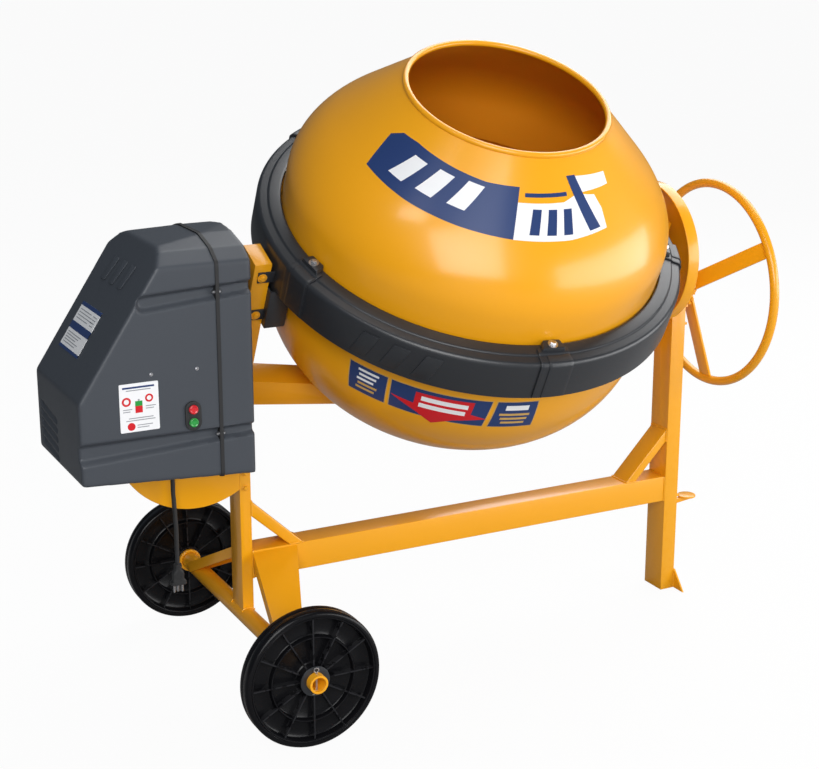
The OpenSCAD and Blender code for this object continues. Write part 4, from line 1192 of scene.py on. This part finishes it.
class MIXER_OT_motor_cover(bpy.types.Operator):
    """The moulded motor cover in two halves, with its grooves and louvres, and the strap over the joint"""
    bl_idname = "mixer.motor_cover"
    bl_label = "Motor cover"

    def execute(self, context):
        body = self.body()
        strap = self.cut(body, COVER_SPLIT - 4, COVER_SPLIT + 4, swell=2.6)
        self.carve(body)
        gap = 0.4
        for name, node_name, low, high in (("motor_cover_outer", "cover_outer", -BEYOND, COVER_SPLIT - gap),
                                           ("motor_cover_inner", "cover_inner", COVER_SPLIT + gap, BEYOND)):
            half = self.cut(body, low, high)
            piece(name, half, LOCAL, [cover_plastic()], "frame", [node_name], angle=50)
        piece("cover_strap", strap, LOCAL, [rubber()], "frame", ["seam_strap"], angle=40)
        data = body.data
        bpy.data.objects.remove(body)
        bpy.data.meshes.remove(data)
        self.bolts()
        return {"FINISHED"}

    def body(self):
        """The rounded form in millimetres: a side outline crossed with a crown, then softened."""
        side = bmesh.new()
        add_prism(side, COVER_SIDE, lambda p: (p[0], -COVER_HALF, p[1]), lambda p: (p[0], COVER_HALF, p[1]))
        form = piece("cover_form", outwards(side), Matrix.Scale(MM, 4), [])
        crown = bmesh.new()
        add_prism(crown, CROWN, lambda p: (-500, p[0], p[1]), lambda p: (0, p[0], p[1]))
        other = piece("cover_crown", outwards(crown), Matrix.Scale(MM, 4), [])
        cross = form.modifiers.new("crown", "BOOLEAN")
        cross.operation = "INTERSECT"
        cross.solver = "EXACT"
        cross.object = other
        mesh_size = form.modifiers.new("mesh", "REMESH")
        mesh_size.mode = "VOXEL"
        mesh_size.voxel_size = sizes().cover_voxel
        soften = form.modifiers.new("soften", "SMOOTH")
        soften.factor = 0.5
        soften.iterations = 13
        bake_modifiers(form)
        bpy.data.objects.remove(other)
        form.data.transform(Matrix.Scale(1 / MM, 4))
        return form

    def carve(self, body):
        """Presses the grooves and the louvres into the softened form."""
        mesh = body.data
        points = np.empty(len(mesh.vertices) * 3)
        mesh.vertices.foreach_get("co", points)
        points = points.reshape(-1, 3)
        x, y, z = points.T
        inward = np.zeros(len(points))
        for (x0, z0), (x1, z1), wide0, wide1 in GROOVES:
            run = np.array([x1 - x0, z1 - z0], float)
            back = np.where(y > 0, REAR_GROOVE_SHIFT, 0.0)
            along = (x - x0 - back) * run[0] + (z - z0) * run[1]
            share = np.clip(along / (run.dot(run) - back * run[0]), 0, 1)
            beyond = np.where(share <= 0, 1.0, 0.1)
            off = np.hypot((x - x0 - back - share * (run[0] - back)) * beyond, z - z0 - share * run[1])
            wide = wide0 + (wide1 - wide0) * share
            inward = np.maximum(inward, GROOVE_DEPTH * self.dish(off / wide))
        near_side = np.clip((np.abs(y) - 120) / 30, 0, 1)
        points[:, 1] -= np.sign(y) * inward * near_side
        end = np.clip((-x - 380) / 20, 0, 1)
        for height in LOUVRES:
            middle_z = height + (y - LOUVRE_Y) * 0.10
            off = np.hypot(np.maximum(np.abs(y - LOUVRE_Y) - LOUVRE_HALF, 0), z - middle_z)
            points[:, 0] += LOUVRE_LEAN * self.dish(off / LOUVRE_WIDE) * end
        mesh.vertices.foreach_set("co", points.ravel())
        mesh.update()

    def dish(self, share):
        """1 in the middle of a groove, falling smoothly to 0 at its edge."""
        share = np.clip(share, 0, 1)
        flat = np.clip((1 - share) / 0.55, 0, 1)
        return flat * flat * (3 - 2 * flat)

    def cut(self, body, low, high, swell=0.0):
        """The closed part of the form between two planes across X, grown outwards by swell."""
        form = bmesh.new()
        form.from_mesh(body.data)
        if swell:
            form.normal_update()
            for vert in form.verts:
                vert.co += vert.normal * swell
        for plane, way in ((low, -1), (high, 1)):
            if abs(plane) < BEYOND:
                whole = form.verts[:] + form.edges[:] + form.faces[:]
                bmesh.ops.bisect_plane(form, geom=whole, plane_co=(plane, 0, 0), plane_no=(way, 0, 0),
                                       clear_outer=True)
                rim = [e for e in form.edges if e.is_boundary]
                bmesh.ops.holes_fill(form, edges=rim, sides=0)
        bmesh.ops.recalc_face_normals(form, faces=form.faces)
        return form

    def bolts(self):
        """A clamp bolt through the joint in each groove, on both faces of the cover."""
        rows = []
        for (x0, z0), (x1, z1), _, _ in GROOVES:
            share = (COVER_SPLIT - x0) / (x1 - x0)
            z = z0 + share * (z1 - z0)
            for side in (-1, 1):
                y = side * (COVER_HALF - 5.5)
                rows += [((COVER_SPLIT - 4.2, y, z), (-1, 0, 0)), ((COVER_SPLIT + 4.2, y, z), (1, 0, 0))]
        bolts("cover_bolts", rows, LOCAL, "frame", head=0.0036, height=0.0046, washer=1.35, thickness=0.001,
              stands_for=["cover_screws"])
        screws = [((x, -COVER_HALF, PANEL_SCREW_Z), (0, -1, 0)) for x in PANEL_SCREW_X]
        bolts("panel_screws", screws, LOCAL, "frame", head=0.0030, height=0.0022, washer=1.3,
              thickness=0.0008)


class MIXER_OT_switch(bpy.types.Operator):
    """The switch box with its two buttons"""
    bl_idname = "mixer.switch"
    bl_label = "Switch"

    def execute(self, context):
        from_node("switch_box", 0.0012, "rubber")
        for name, finish_of in (("stop_button", "red_plastic"), ("start_button", "green_plastic")):
            low, high = local_box(name)
            r = (high.x - low.x) / 2
            deep = high.y - low.y
            line = [(0, 0), (r, 0), (r, deep - 1.6), (r - 0.6, deep - 0.5), (r - 1.8, deep),
                    (r - 2.6, deep - 0.3), (r - 3.4, deep - 1.1), (r - 5, deep - 1.3), (0, deep - 1.5)]
            form = bmesh.new()
            add_revolve(form, line, 48)
            place = (LOCAL @ Matrix.Translation(((low.x + high.x) / 2, high.y, (low.z + high.z) / 2))
                     @ Matrix.Rotation(math.radians(90), 4, "X"))
            piece(name + "_cap", outwards(form), place, [FINISHES[finish_of]()], name, [name],
                  angle=40)
        return {"FINISHED"}


def card(form, outline, origin, right, up, out, thick, material):
    """A thin flat shape on a plane: its outline is in millimetres along right and up."""
    base = [Vector(origin) + Vector(right) * a + Vector(up) * b for a, b in outline]
    add_prism(form, base, lambda p: p, lambda p: p + Vector(out) * thick, material)


def oblong(x0, x1, y0, y1, r=0.0):
    outline = [(x0, y0), (x1, y0), (x1, y1), (x0, y1)]
    return rounded(outline, r, 3) if r else outline


def disc(x, y, r):
    return circle(r, 24, x, y)


class MIXER_OT_labels(bpy.types.Operator):
    """The control and rating labels on the cover, and its raised bars"""
    bl_idname = "mixer.labels"
    bl_label = "Cover labels"

    def execute(self, context):
        inks = [ink("label_white", colours().white), ink("label_navy", colours().navy),
                ink("label_red", colours().red), ink("label_green", colours().green),
                ink("label_grey", (0.30, 0.31, 0.33))]
        self.control_label(inks)
        self.rating_label(inks)
        self.raised_bars()
        return {"FINISHED"}

    def control_label(self, inks):
        """Pictograms for stop, start and plug, with plain lines in place of words."""
        form = bmesh.new()
        y = -COVER_HALF
        face = dict(origin=(-283, y, 743.5), right=(1, 0, 0), up=(0, 0, 1), out=(0, -1, 0))
        card(form, oblong(-43, 43, -53, 53, 3), thick=0.9, material=0, **face)
        shapes = [
            (oblong(-36, 34, 42, 46), 1), (oblong(-28, 26, 37, 39), 4),
            (disc(-28, 14, 10), 2), (disc(-28, 14, 5.6), 0), (disc(22, 18, 9), 2), (disc(22, 18, 5), 0),
            (oblong(-9, 7, 3, 14), 3), (oblong(-9, 7, -12, 3), 2), (oblong(-3, 1, 14, 18), 4),
            (oblong(-36, -16, -4, -2), 4), (oblong(-36, -20, -9, -7), 4), (oblong(14, 36, 0, 2), 4),
            (oblong(14, 32, -5, -3), 4), (oblong(-24, 30, -24, -22), 4), (oblong(-30, 34, -29, -27), 4),
            (disc(-19, -41, 8.6), 2), (oblong(-6, 28, -40, -38), 4), (oblong(-6, 20, -45, -43), 4)]
        self.print_shapes(form, shapes, face)
        piece("control_label", outwards(form), LOCAL, inks, "frame")

    def print_shapes(self, form, shapes, face):
        """Ink shapes on a label, each second one a hair thicker, so that no two tops lie in one plane."""
        for k, (outline, material) in enumerate(shapes):
            card(form, outline, thick=1.1 + 0.12 * (k % 2), material=material, **face)

    def slope(self):
        """The cover's sloping face: its top edge, its way down and its outward direction."""
        (x0, z0), (x1, z1) = COVER_SIDE[2], COVER_SIDE[3]
        down = Vector((x1 - x0, 0, z1 - z0)).normalized()
        out = Vector((down.z, 0, -down.x))
        return Vector((x0, 0, z0)), down, out

    def rating_label(self, inks):
        form = bmesh.new()
        top, down, out = self.slope()
        face = dict(origin=top + down * 236 + Vector((0, 40, 0)), right=(0, -1, 0), up=-down, out=out)
        card(form, oblong(-68, 68, -56, 56, 3), thick=0.9, material=0, **face)
        shapes = [(oblong(-68, 68, 47, 56), 1), (oblong(-68, 68, -9, 8), 1), (oblong(-68, 68, -56, -49), 1)]
        shapes += [(oblong(-58, 20 + 14 * (k % 3), 38 - 7 * k, 40 - 7 * k), 4) for k in range(4)]
        shapes += [(oblong(30 + 6 * (k % 2), 58, 38 - 7 * k, 40 - 7 * k), 4) for k in range(4)]
        shapes += [(oblong(-58, 34 - 11 * (k % 3), -18 - 6 * k, -16 - 6 * k), 4) for k in range(5)]
        shapes.append((oblong(-34, 34, -3, 3), 0))
        self.print_shapes(form, shapes, face)
        piece("rating_label", outwards(form), LOCAL, inks, "frame")

    def raised_bars(self):
        """Three slanting bars, raised on the sloping face."""
        form = bmesh.new()
        top, down, out = self.slope()
        face = dict(origin=top + down * 88 + Vector((0, 8, 0)), right=(0, -1, 0), up=-down, out=out)
        for k in range(3):
            a = -78 + 56 * k
            outline = rounded([(a, -30), (a + 26, -30), (a + 44, 30), (a + 18, 30)], 5)
            card(form, outline, thick=3.0, material=0, **face)
        made = piece("cover_raised_bars", outwards(form), LOCAL, [cover_plastic()])
        round_edges(made, 0.0012, 2)
        settle(made, "frame")


class MIXER_OT_drum(bpy.types.Operator):
    """The drum: pressed bowl, rolled cone with its beaded mouth, and the mixing blades"""
    bl_idname = "mixer.drum"
    bl_label = "Drum"

    def execute(self, context):
        steps = 30
        outer = []
        for k in range(steps + 1):
            r = BOWL_FLAT + (BOWL_R - BOWL_FLAT) * math.sin(math.pi / 2 * k / steps)
            outer.append((r, bowl_u(r)))
        top = [(BOWL_R, 20), (BOWL_R, 60), (BOWL_R, JOINT_U)]
        inner = [(max(0, r - SHEET), u + SHEET * (0.35 + 0.65 * (1 - r / BOWL_R))) for r, u in outer]
        profile = [(0, bowl_u(BOWL_FLAT)), *outer, *top, (BOWL_R - SHEET, JOINT_U), *inner[::-1],
                   (0, bowl_u(BOWL_FLAT) + SHEET)]
        inside = len(outer) + len(top)
        slots = [0 if k <= inside else 1 for k in range(len(profile))]
        form = bmesh.new()
        add_revolve(form, profile, DRUM_STEPS, materials=slots)
        skins = [yellow_paint(), drum_inside_paint()]
        piece("drum_bowl_shell", outwards(form), DRUM, skins, "drum", ["drum_bowl"], angle=30)
        self.cone(skins)
        blades = from_node("mixing_blades", 0.0012, "yellow_paint")
        blades.data.materials[0] = drum_inside_paint()
        from_node("drum_spindle", 0.0012, "steel")
        return {"FINISHED"}

    def cone(self, skins):
        (r0, u0), (r1, u1) = SLOPE
        slope = [(r1 + (r0 - r1) * k / 8, u1 + (u0 - u1) * k / 8) for k in range(8)]
        foot = [(CONE_R, 170), (CONE_R, 130), (CONE_R, JOINT_U + 6), (CONE_R + 2, JOINT_U + 4),
                (BOWL_R - 1, JOINT_U + 4), (BOWL_R, JOINT_U + 3), (BOWL_R, JOINT_U + 0.2)]
        out = slope + shoulder() + foot
        back = [(CONE_R - SHEET, JOINT_U + 0.2), (CONE_R - SHEET, CONE_SIDE_U)]
        back += [(r - SHEET, u - SHEET * 0.7) for r, u in shoulder()[::-1]]
        back += [(r - SHEET * 0.7, u - SHEET) for r, u in slope[::-1]]
        slots = [0] * (len(out) - 1) + [1] * (len(back) + 1)
        form = bmesh.new()
        add_revolve(form, out + back, DRUM_STEPS, materials=slots)
        ring = bmesh.new()
        add_revolve(ring, circle(MOUTH_BEAD, 20, r1, u1), DRUM_STEPS)
        merge(form, ring)
        piece("drum_cone_shell", outwards(form), DRUM, skins, "drum", ["drum_cone"], angle=30)


class MIXER_OT_stickers(bpy.types.Operator):
    """Plain stickers on the drum: a band of colour on the cone and three panels under the guard"""
    bl_idname = "mixer.stickers"
    bl_label = "Stickers"

    def execute(self, context):
        inks = [ink("sticker_navy", colours().navy), ink("sticker_white", colours().white),
                ink("sticker_red", colours().red), ink("sticker_sand", colours().sand)]
        navy, white, red, sand = range(4)
        band = [
            ([(-171, 374), (-174.2, 431), (-169.2, 445), (-160, 447), (-138, 440), (-124, 436), (-109.5, 438),
              (-110.5, 360), (-130, 362), (-150, 366)], navy, 0),
            ([(-110.5, 360), (-109.8, 415), (-90, 417), (-83, 427), (-74, 420), (-72.5, 398), (-73.2, 368),
              (-90, 361)], white, 0),
            ([(-81.5, 428), (-81.5, 453), (-63.2, 446), (-64.1, 427)], white, 1),
            ([(-86.5, 455), (-81.8, 455), (-76, 372), (-81, 370)], navy, 2),
            ([(-107, 430), (-88, 432), (-88, 426), (-107, 424)], navy, 1)]
        for a in (-162, -149, -136):
            band.append(([(a, 388), (a + 7, 386), (a + 12, 428), (a + 5, 430)], white, 1))
        for a in (-105, -98.5, -92):
            band.append(([(a, 369), (a + 3.6, 369), (a + 5, 407), (a + 1.4, 407)], navy, 1))
        panels = [
            [(-147.8, -4), (-135.5, -4), (-135.2, -84), (-147, -84)],
            [(-134.9, -4), (-105.8, -4), (-106.7, -86), (-134.4, -84)],
            [(-104.8, -4), (-92.3, -4), (-91.8, -86), (-105.6, -86)]]
        lower = []
        # The panels hold plain bars in place of words.
        for corners in panels:
            lower.append((corners, sand, 0))
            lower.append((self.shrink(corners, 0.3, 2.0), navy, 1))
        arrow = [(-127.4, -16), (-110.9, -14), (-111.2, -50), (-106.4, -60), (-115.5, -76), (-121.2, -99),
                 (-126.5, -72), (-134.2, -44), (-127.4, -50)]
        lower.append((arrow, red, 2))
        for k in range(5):
            start, end = -144.6 + 0.5 * (k % 2), -138.2 - 0.6 * (k % 3)
            lower.append((self.bar(start, end, -14 - 12.5 * k, 6), white if k < 3 else sand, 2))
        lower.append((self.bar(-101.8, -95, -16, 14), white, 2))
        for k in range(3):
            lower.append((self.bar(-103.2 + 0.6 * k, -94.2 - 0.4 * k, -40 - 13 * k, 6.5), sand, 2))
        for k in range(2):
            lower.append((self.bar(-125.6 - 0.3 * k, -112.4 - 0.4 * k, -24 - 20 * k, 12), white, 3))
        self.stick("cone_stickers", band, cone_point, inks)
        self.stick("bowl_stickers", lower, bowl_r, inks)
        return {"FINISHED"}

    def bar(self, a0, a1, u, high):
        return [(a0, u - high), (a1, u - high), (a1, u), (a0, u)]

    def shrink(self, corners, turn, rise):
        """An outline moved in by an angle and a height."""
        middle_a = sum(a for a, _ in corners) / len(corners)
        middle_u = sum(u for _, u in corners) / len(corners)
        return [(a + math.copysign(turn, middle_a - a), u + math.copysign(rise, middle_u - u))
                for a, u in corners]

    def stick(self, name, shapes, radius_at, inks):
        """Lays flat outlines of (angle, height) on the drum, each layer a little prouder than the last."""
        form = bmesh.new()
        sunk = -0.15
        for outline, material, layer in shapes:
            flat = self.sliced(outline)
            lift = (sizes().decal_lift / MM) * (1 + 0.55 * layer)
            laid = {}
            for vert in flat.verts:
                turn, u = math.radians(vert.co.x), vert.co.y
                slope = (radius_at(u + 1) - radius_at(u - 1)) / 2
                out = Vector((1, -slope)).normalized()
                for side, grow in enumerate((sunk, lift)):
                    r = radius_at(u) + out.x * grow
                    place = (r * math.cos(turn), r * math.sin(turn), u + out.y * grow)
                    laid[vert, side] = form.verts.new(place)
            for face in flat.faces:
                upper = form.faces.new([laid[v, 1] for v in face.verts])
                under = form.faces.new([laid[v, 0] for v in reversed(face.verts)])
                upper.material_index = under.material_index = material
            for edge in flat.edges:
                if edge.is_boundary:
                    a, b = edge.verts
                    wall = form.faces.new((laid[a, 0], laid[b, 0], laid[b, 1], laid[a, 1]))
                    wall.material_index = material
            flat.free()
        bmesh.ops.recalc_face_normals(form, faces=form.faces)
        piece(name, form, DRUM, inks, "drum", angle=30)

    def sliced(self, outline):
        """A flat outline cut along a grid, two degrees by eight millimetres, to follow the drum."""
        flat = bmesh.new()
        flat.faces.new([flat.verts.new((a, u, 0)) for a, u in outline])
        for normal, step, low, high in (((1, 0, 0), 2, -180, 0), ((0, 1, 0), 8, -360, 500)):
            for place in range(low, high, step):
                bmesh.ops.bisect_plane(flat, geom=flat.verts[:] + flat.edges[:] + flat.faces[:],
                                       plane_co=Vector(normal) * place, plane_no=normal)
        return flat


# The guard's first joint, in degrees, and its parts. Its bars stand between two radii.
GUARD_FIRST = -94.5
GUARD_PARTS = 5
GUARD_GAP = 0.12
GUARD_BARS = (-146, -26)
BAR_RADII = (505.2, 509.4)


class MIXER_OT_guard(bpy.types.Operator):
    """The moulded guard round the ring gear, with its clips, brackets, ears and raised bars"""
    bl_idname = "mixer.guard"
    bl_label = "Gear guard"

    def execute(self, context):
        line = rounded([(502, 47), (506, 47), (506, 134), (501, 141), (482, 144.5), (479, 147.5), (456, 152),
                        (452, 151.5), (452, 148.6), (477, 144), (480, 141), (498.5, 137.5), (502, 131)],
                       [1.2, 1.2, 4, 4, 2, 2, 1.5, 1, 1, 2, 2, 3, 3], 3)
        form = bmesh.new()
        share = 360 / GUARD_PARTS
        for k in range(GUARD_PARTS):
            add_revolve(form, line, 44, GUARD_FIRST + share * k + GUARD_GAP / 2, share - GUARD_GAP)
        piece("gear_guard_shell", outwards(form), DRUM, [guard_plastic()], "yoke",
              ["gear_guard"], angle=40)
        self.clips(share)
        self.raised_bars()
        from_node("guard_brackets", 0.0008, "guard_plastic")
        from_node("pinion_guard", 0.0015, "guard_plastic")
        return {"FINISHED"}

    def clips(self, share):
        """A folded clip over each joint of the guard, with a raised ear that takes its bolt."""
        form = bmesh.new()
        rows = []
        line = rounded([(506.2, 50), (509.6, 50), (509.8, 136), (504, 144), (484, 147.5), (480, 151),
                        (466, 153.5), (466, 149.5), (479, 147), (482, 144.2), (501, 141.2), (506.2, 134)],
                       [1, 1.2, 3, 3, 2, 2, 1, 1, 2, 2, 3, 3], 3)
        pad = rounded([(507, 52), (511.4, 52.5), (511.4, 136.5), (505, 145.4), (484, 149.2), (484, 146),
                       (503, 142), (507, 134)], [0.6, 1.4, 3, 3, 1, 1, 2, 2], 3)
        for k in range(GUARD_PARTS):
            turn = GUARD_FIRST + share * k
            add_revolve(form, line, 10, turn - 4.4, 8.8)
            add_revolve(form, pad, 8, turn - 2.2, 6.4)
            ear = bmesh.new()
            add_prism(ear, rounded([(452.5, -24), (476, -31), (476, 31), (452.5, 24)], 4, 3),
                      lambda p: (p[0], p[1], 150.6 - (p[0] - 452.5) * 0.10),
                      lambda p: (p[0] - 0.4, p[1] * 0.84, 164 - (p[0] - 452.5) * 0.16))
            ear.transform(Matrix.Rotation(math.radians(turn), 4, "Z"))
            merge(form, ear)
            c, s = math.cos(math.radians(turn)), math.sin(math.radians(turn))
            bolt_r, bolt_u, lean = 464, 162.0, 0.14
            rows.append(((bolt_r * c, bolt_r * s, bolt_u), (lean * c, lean * s, 1)))
        made = piece("guard_clips_moulded", outwards(form), DRUM, [guard_plastic()])
        round_edges(made, 0.0014, 2, shade=40)
        settle(made, "yoke", ["guard_clips"])
        bolts("guard_clip_bolts", rows, DRUM, "yoke", head=0.0074, height=0.0056)

    def raised_bars(self):
        """Slanting bars raised on the guard's face."""
        form = bmesh.new()
        for first in GUARD_BARS:
            for k in range(3):
                self.bar(form, first + 8.2 * k)
        made = piece("guard_raised_bars", outwards(form), DRUM, [guard_plastic()])
        round_edges(made, 0.0011, 2, shade=40)
        settle(made, "yoke")

    def bar(self, form, start):
        """One slanting bar, bent with the guard, from a grid of points on its two faces."""
        across, up = 4, 2
        wide, slant = 4.4, 2.6
        low, high = 62, 60
        grid = {}
        for i in range(across + 1):
            for j in range(up + 1):
                turn = math.radians(start + wide * i / across + slant * j / up)
                for d, r in enumerate(BAR_RADII):
                    place = (r * math.cos(turn), r * math.sin(turn), low + high * j / up)
                    grid[i, j, d] = form.verts.new(place)

        def face(*corners):
            form.faces.new([grid[corner] for corner in corners])

        for i in range(across):
            for j in range(up):
                for d in (0, 1):
                    face((i, j, d), (i + 1, j, d), (i + 1, j + 1, d), (i, j + 1, d))
            for j in (0, up):
                face((i, j, 0), (i + 1, j, 0), (i + 1, j, 1), (i, j, 1))
        for j in range(up):
            for i in (0, across):
                face((i, j, 0), (i, j + 1, 0), (i, j + 1, 1), (i, j, 1))


# Where the yoke's parts meet, in drum coordinates.
ARM_OUTER = 553.4
ARM_INNER = 513.4
ARM_MIDDLE = (ARM_OUTER + ARM_INNER) / 2
ARM_HALF = 38.0
BEAM_TOP = -232.0
BEAM_BOTTOM = -404.0
BEAM_HALF = 34.5
TRUNNION_WELD_R = 30.6
HOUSING_WELD_R = 50.6
BRACKET_BOLT_HEIGHTS = (79, -26)
BRACKET_BOLT_HALF = 42
POST_BOLT_HEIGHTS = (512, 476)


class MIXER_OT_yoke(bpy.types.Operator):
    """The yoke that carries the drum, its trunnions, disc, spindle housing and welds"""
    bl_idname = "mixer.yoke"
    bl_label = "Yoke"

    def execute(self, context):
        for name in ("yoke_arm_left", "yoke_arm_right", "yoke_beam"):
            from_node(name, 0.0024, "yellow_paint")
        from_node("tilt_disc", 0.0016, "yellow_paint")
        from_node("spindle_housing", 0.0016, "cast_iron")
        from_node("trunnion_tube", 0.0008, "steel")
        from_node("trunnion_stub", 0.0008, "steel", inset=0.0004)
        lines = []
        for side in (-1, 1):
            outer, inner = side * ARM_OUTER, side * ARM_INNER
            lines += [[(outer, v, BEAM_TOP), (inner, v, BEAM_TOP)] for v in (-ARM_HALF, ARM_HALF)]
            edge = side * (ARM_OUTER - 0.4)
            lines.append([(edge, -ARM_HALF + 3, BEAM_TOP), (edge, ARM_HALF - 3, BEAM_TOP)])
            ring = circle(TRUNNION_WELD_R, 36)
            lines.append([(inner - 0.5 * side, a, b) for a, b in ring + ring[:1]])
        ring = circle(HOUSING_WELD_R, 48)
        half = len(ring) // 2
        for way, turned in ((1, ring + ring[:1]), (-1, ring[half:] + ring[:half + 1])):
            lines.append([(a, b, BEAM_BOTTOM) for a, b in turned if abs(b) < BEAM_HALF and a * way > 0])
        welds("yoke_weld_beads", lines, DRUM, "yoke")
        return {"FINISHED"}


class MIXER_OT_drive(bpy.types.Operator):
    """The drive: motor, pulleys, belt, pinion and ring gear"""
    bl_idname = "mixer.drive"
    bl_label = "Drive"

    def execute(self, context):
        from_node("motor_body", 0.0016, "motor_paint")
        from_node("drive_belt", 0.0008, "rubber")
        for name in ("motor_pulley", "driven_pulley"):
            from_node(name, 0.0006, "cast_iron")
        from_node("pinion_shaft", 0.0010, "steel")
        from_node("handwheel_shaft", 0.0010, "steel")
        for name in ("pinion_gear", "ring_gear", "tilt_gear", "tilt_pinion"):
            from_node(name, 0.0004, "cast_iron", segments=1)
        return {"FINISHED"}


class MIXER_OT_handwheel(bpy.types.Operator):
    """The handwheel: bent round tube, three flat spokes and a hub, with their welds"""
    bl_idname = "mixer.handwheel"
    bl_label = "Handwheel"

    def execute(self, context):
        low, high = local_box("handwheel")
        tube = 11.4
        rim = (high.z - low.z) / 2 - tube
        centre = (low.z + high.z) / 2
        middle_y = (low.y + high.y) / 2
        x_rim = high.x - tube
        x_hub = low.x
        place = LOCAL @ Matrix.Translation((0, middle_y, centre)) @ Matrix.Rotation(math.radians(90), 4, "Y")
        form = bmesh.new()
        add_revolve(form, circle(tube, 24, rim, x_rim), 144)
        hub = bmesh.new()
        bore, hub_r, hub_end = 15.2, 24, x_hub + 26
        add_revolve(hub, rounded([(bore, x_hub), (hub_r, x_hub), (hub_r, hub_end), (bore, hub_end)], 1.6), 48)
        merge(form, hub)
        welded = []
        foot, head = 20.0, rim - tube * 0.55
        x_foot = x_hub + 10
        half = 21
        outline = rounded([(foot, x_foot), (foot + 10, x_foot + 1.2), (head - 4, x_rim - 5),
                           (head + 2, x_rim - 1.5), (head + 2, x_rim + 4.5), (head - 5, x_rim + 1.5),
                           (foot + 8, x_foot + 7.2), (foot, x_foot + 6)], 2, 2)
        for k in range(3):
            turn = Matrix.Rotation(math.radians(120 * k), 4, "Z")
            spoke = bmesh.new()
            add_prism(spoke, outline, lambda p: (p[0], -half, p[1]), lambda p: (p[0], half, p[1]))
            spoke.transform(turn)
            merge(form, spoke)
            for x, line, reach in ((x_rim + 3, head + 0.5, 20), (x_foot + 6.6, foot + 5.2, 15)):
                bow = [(math.sqrt(line ** 2 - v * v), v, x) for v in np.linspace(-reach, reach, 9)]
                welded.append([tuple(turn @ Vector(p)) for p in bow])
        made = piece("handwheel_rim", outwards(form), place, [yellow_paint()], angle=40)
        round_edges(made, 0.0009, 2, shade=40)
        settle(made, "handwheel", ["handwheel"])
        welds("handwheel_weld_beads", welded, place, "handwheel", 0.9)
        from_node("lock_wheel", 0.0006, "yellow_paint", segments=2)
        return {"FINISHED"}


class MIXER_OT_lock(bpy.types.Operator):
    """The pedal lock: rod, coil spring, arm and pad"""
    bl_idname = "mixer.lock"
    bl_label = "Pedal lock"

    def execute(self, context):
        from_node("lock_rod", 0.0005, "steel")
        from_node("pedal_arm", 0.0012, "yellow_paint")
        from_node("pedal_pad", 0.0012, "yellow_paint")
        low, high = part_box("pedal_spring")
        wire = sizes().spring_wire
        place = Matrix.Translation(((low.x + high.x) / 2, (low.y + high.y) / 2, low.z + wire))
        run_tree("lock_spring", "helix", origin_mesh("lock_spring"), place, steel(), "lock_pedal", "steel",
                 ["pedal_spring"], angle=60, Turns=13.0, Coil_Radius=(high.x - low.x) / 2 - wire,
                 Wire_Radius=wire, Height=high.z - low.z - 2 * wire)
        return {"FINISHED"}


class MIXER_OT_fasteners(bpy.types.Operator):
    """Hexagon bolts on the guard's brackets and the wheel post"""
    bl_idname = "mixer.fasteners"
    bl_label = "Fasteners"

    def execute(self, context):
        rows = []
        for x in (-ARM_MIDDLE, ARM_MIDDLE):
            for way in (-1, 1):
                for u in BRACKET_BOLT_HEIGHTS:
                    rows.append(((x, way * BRACKET_BOLT_HALF, u), (0, way, 0)))
        bolts("bracket_bolts", rows, DRUM, "yoke", slot="yellow_paint", head=0.0072)
        low, high = local_box("wheel_post")
        middle_x = (low.x + high.x) / 2
        rows = []
        for y, way in ((low.y, -1), (high.y, 1)):
            rows += [((middle_x, y, z), (0, way, 0)) for z in POST_BOLT_HEIGHTS]
        bolts("post_bolts", rows, LOCAL, "frame", slot="yellow_paint", head=0.0058)
        return {"FINISHED"}


STEPS = (
    MIXER_OT_stage, MIXER_OT_cord, MIXER_OT_frame_tubes, MIXER_OT_frame_welds, MIXER_OT_wheels,
    MIXER_OT_axle_ends, MIXER_OT_motor_cover, MIXER_OT_switch, MIXER_OT_labels, MIXER_OT_drum,
    MIXER_OT_stickers, MIXER_OT_guard, MIXER_OT_yoke, MIXER_OT_drive, MIXER_OT_handwheel, MIXER_OT_lock,
    MIXER_OT_fasteners)


class MIXER_PT_panel(bpy.types.Panel):
    """The mixer's pieces, with the sizes and colours they are made with"""
    bl_label = "Concrete mixer"
    bl_idname = "MIXER_PT_panel"
    bl_space_type = "VIEW_3D"
    bl_region_type = "UI"
    bl_category = "Mixer"

    def draw(self, context):
        for step in STEPS:
            self.layout.operator(step.bl_idname)
        scene = context.scene
        for group_of in (scene.mixer_colours, scene.mixer_sizes, scene.mixer_stage):
            box = self.layout.box()
            for name in group_of.__annotations__:
                box.prop(group_of, name)


CLASSES = (MixerColours, MixerSizes, StageSettings, *STEPS, MIXER_PT_panel)


def register():
    for kind in CLASSES:
        bpy.utils.register_class(kind)
    bpy.types.Scene.mixer_colours = bpy.props.PointerProperty(type=MixerColours)
    bpy.types.Scene.mixer_sizes = bpy.props.PointerProperty(type=MixerSizes)
    bpy.types.Scene.mixer_stage = bpy.props.PointerProperty(type=StageSettings)


def unregister():
    del bpy.types.Scene.mixer_stage
    del bpy.types.Scene.mixer_sizes
    del bpy.types.Scene.mixer_colours
    for kind in reversed(CLASSES):
        bpy.utils.unregister_class(kind)


def main():
    register()
    for step in STEPS:
        group_name, operator_name = step.bl_idname.split(".")
        getattr(getattr(bpy.ops, group_name), operator_name)()


if __name__ == "__main__":
    main()
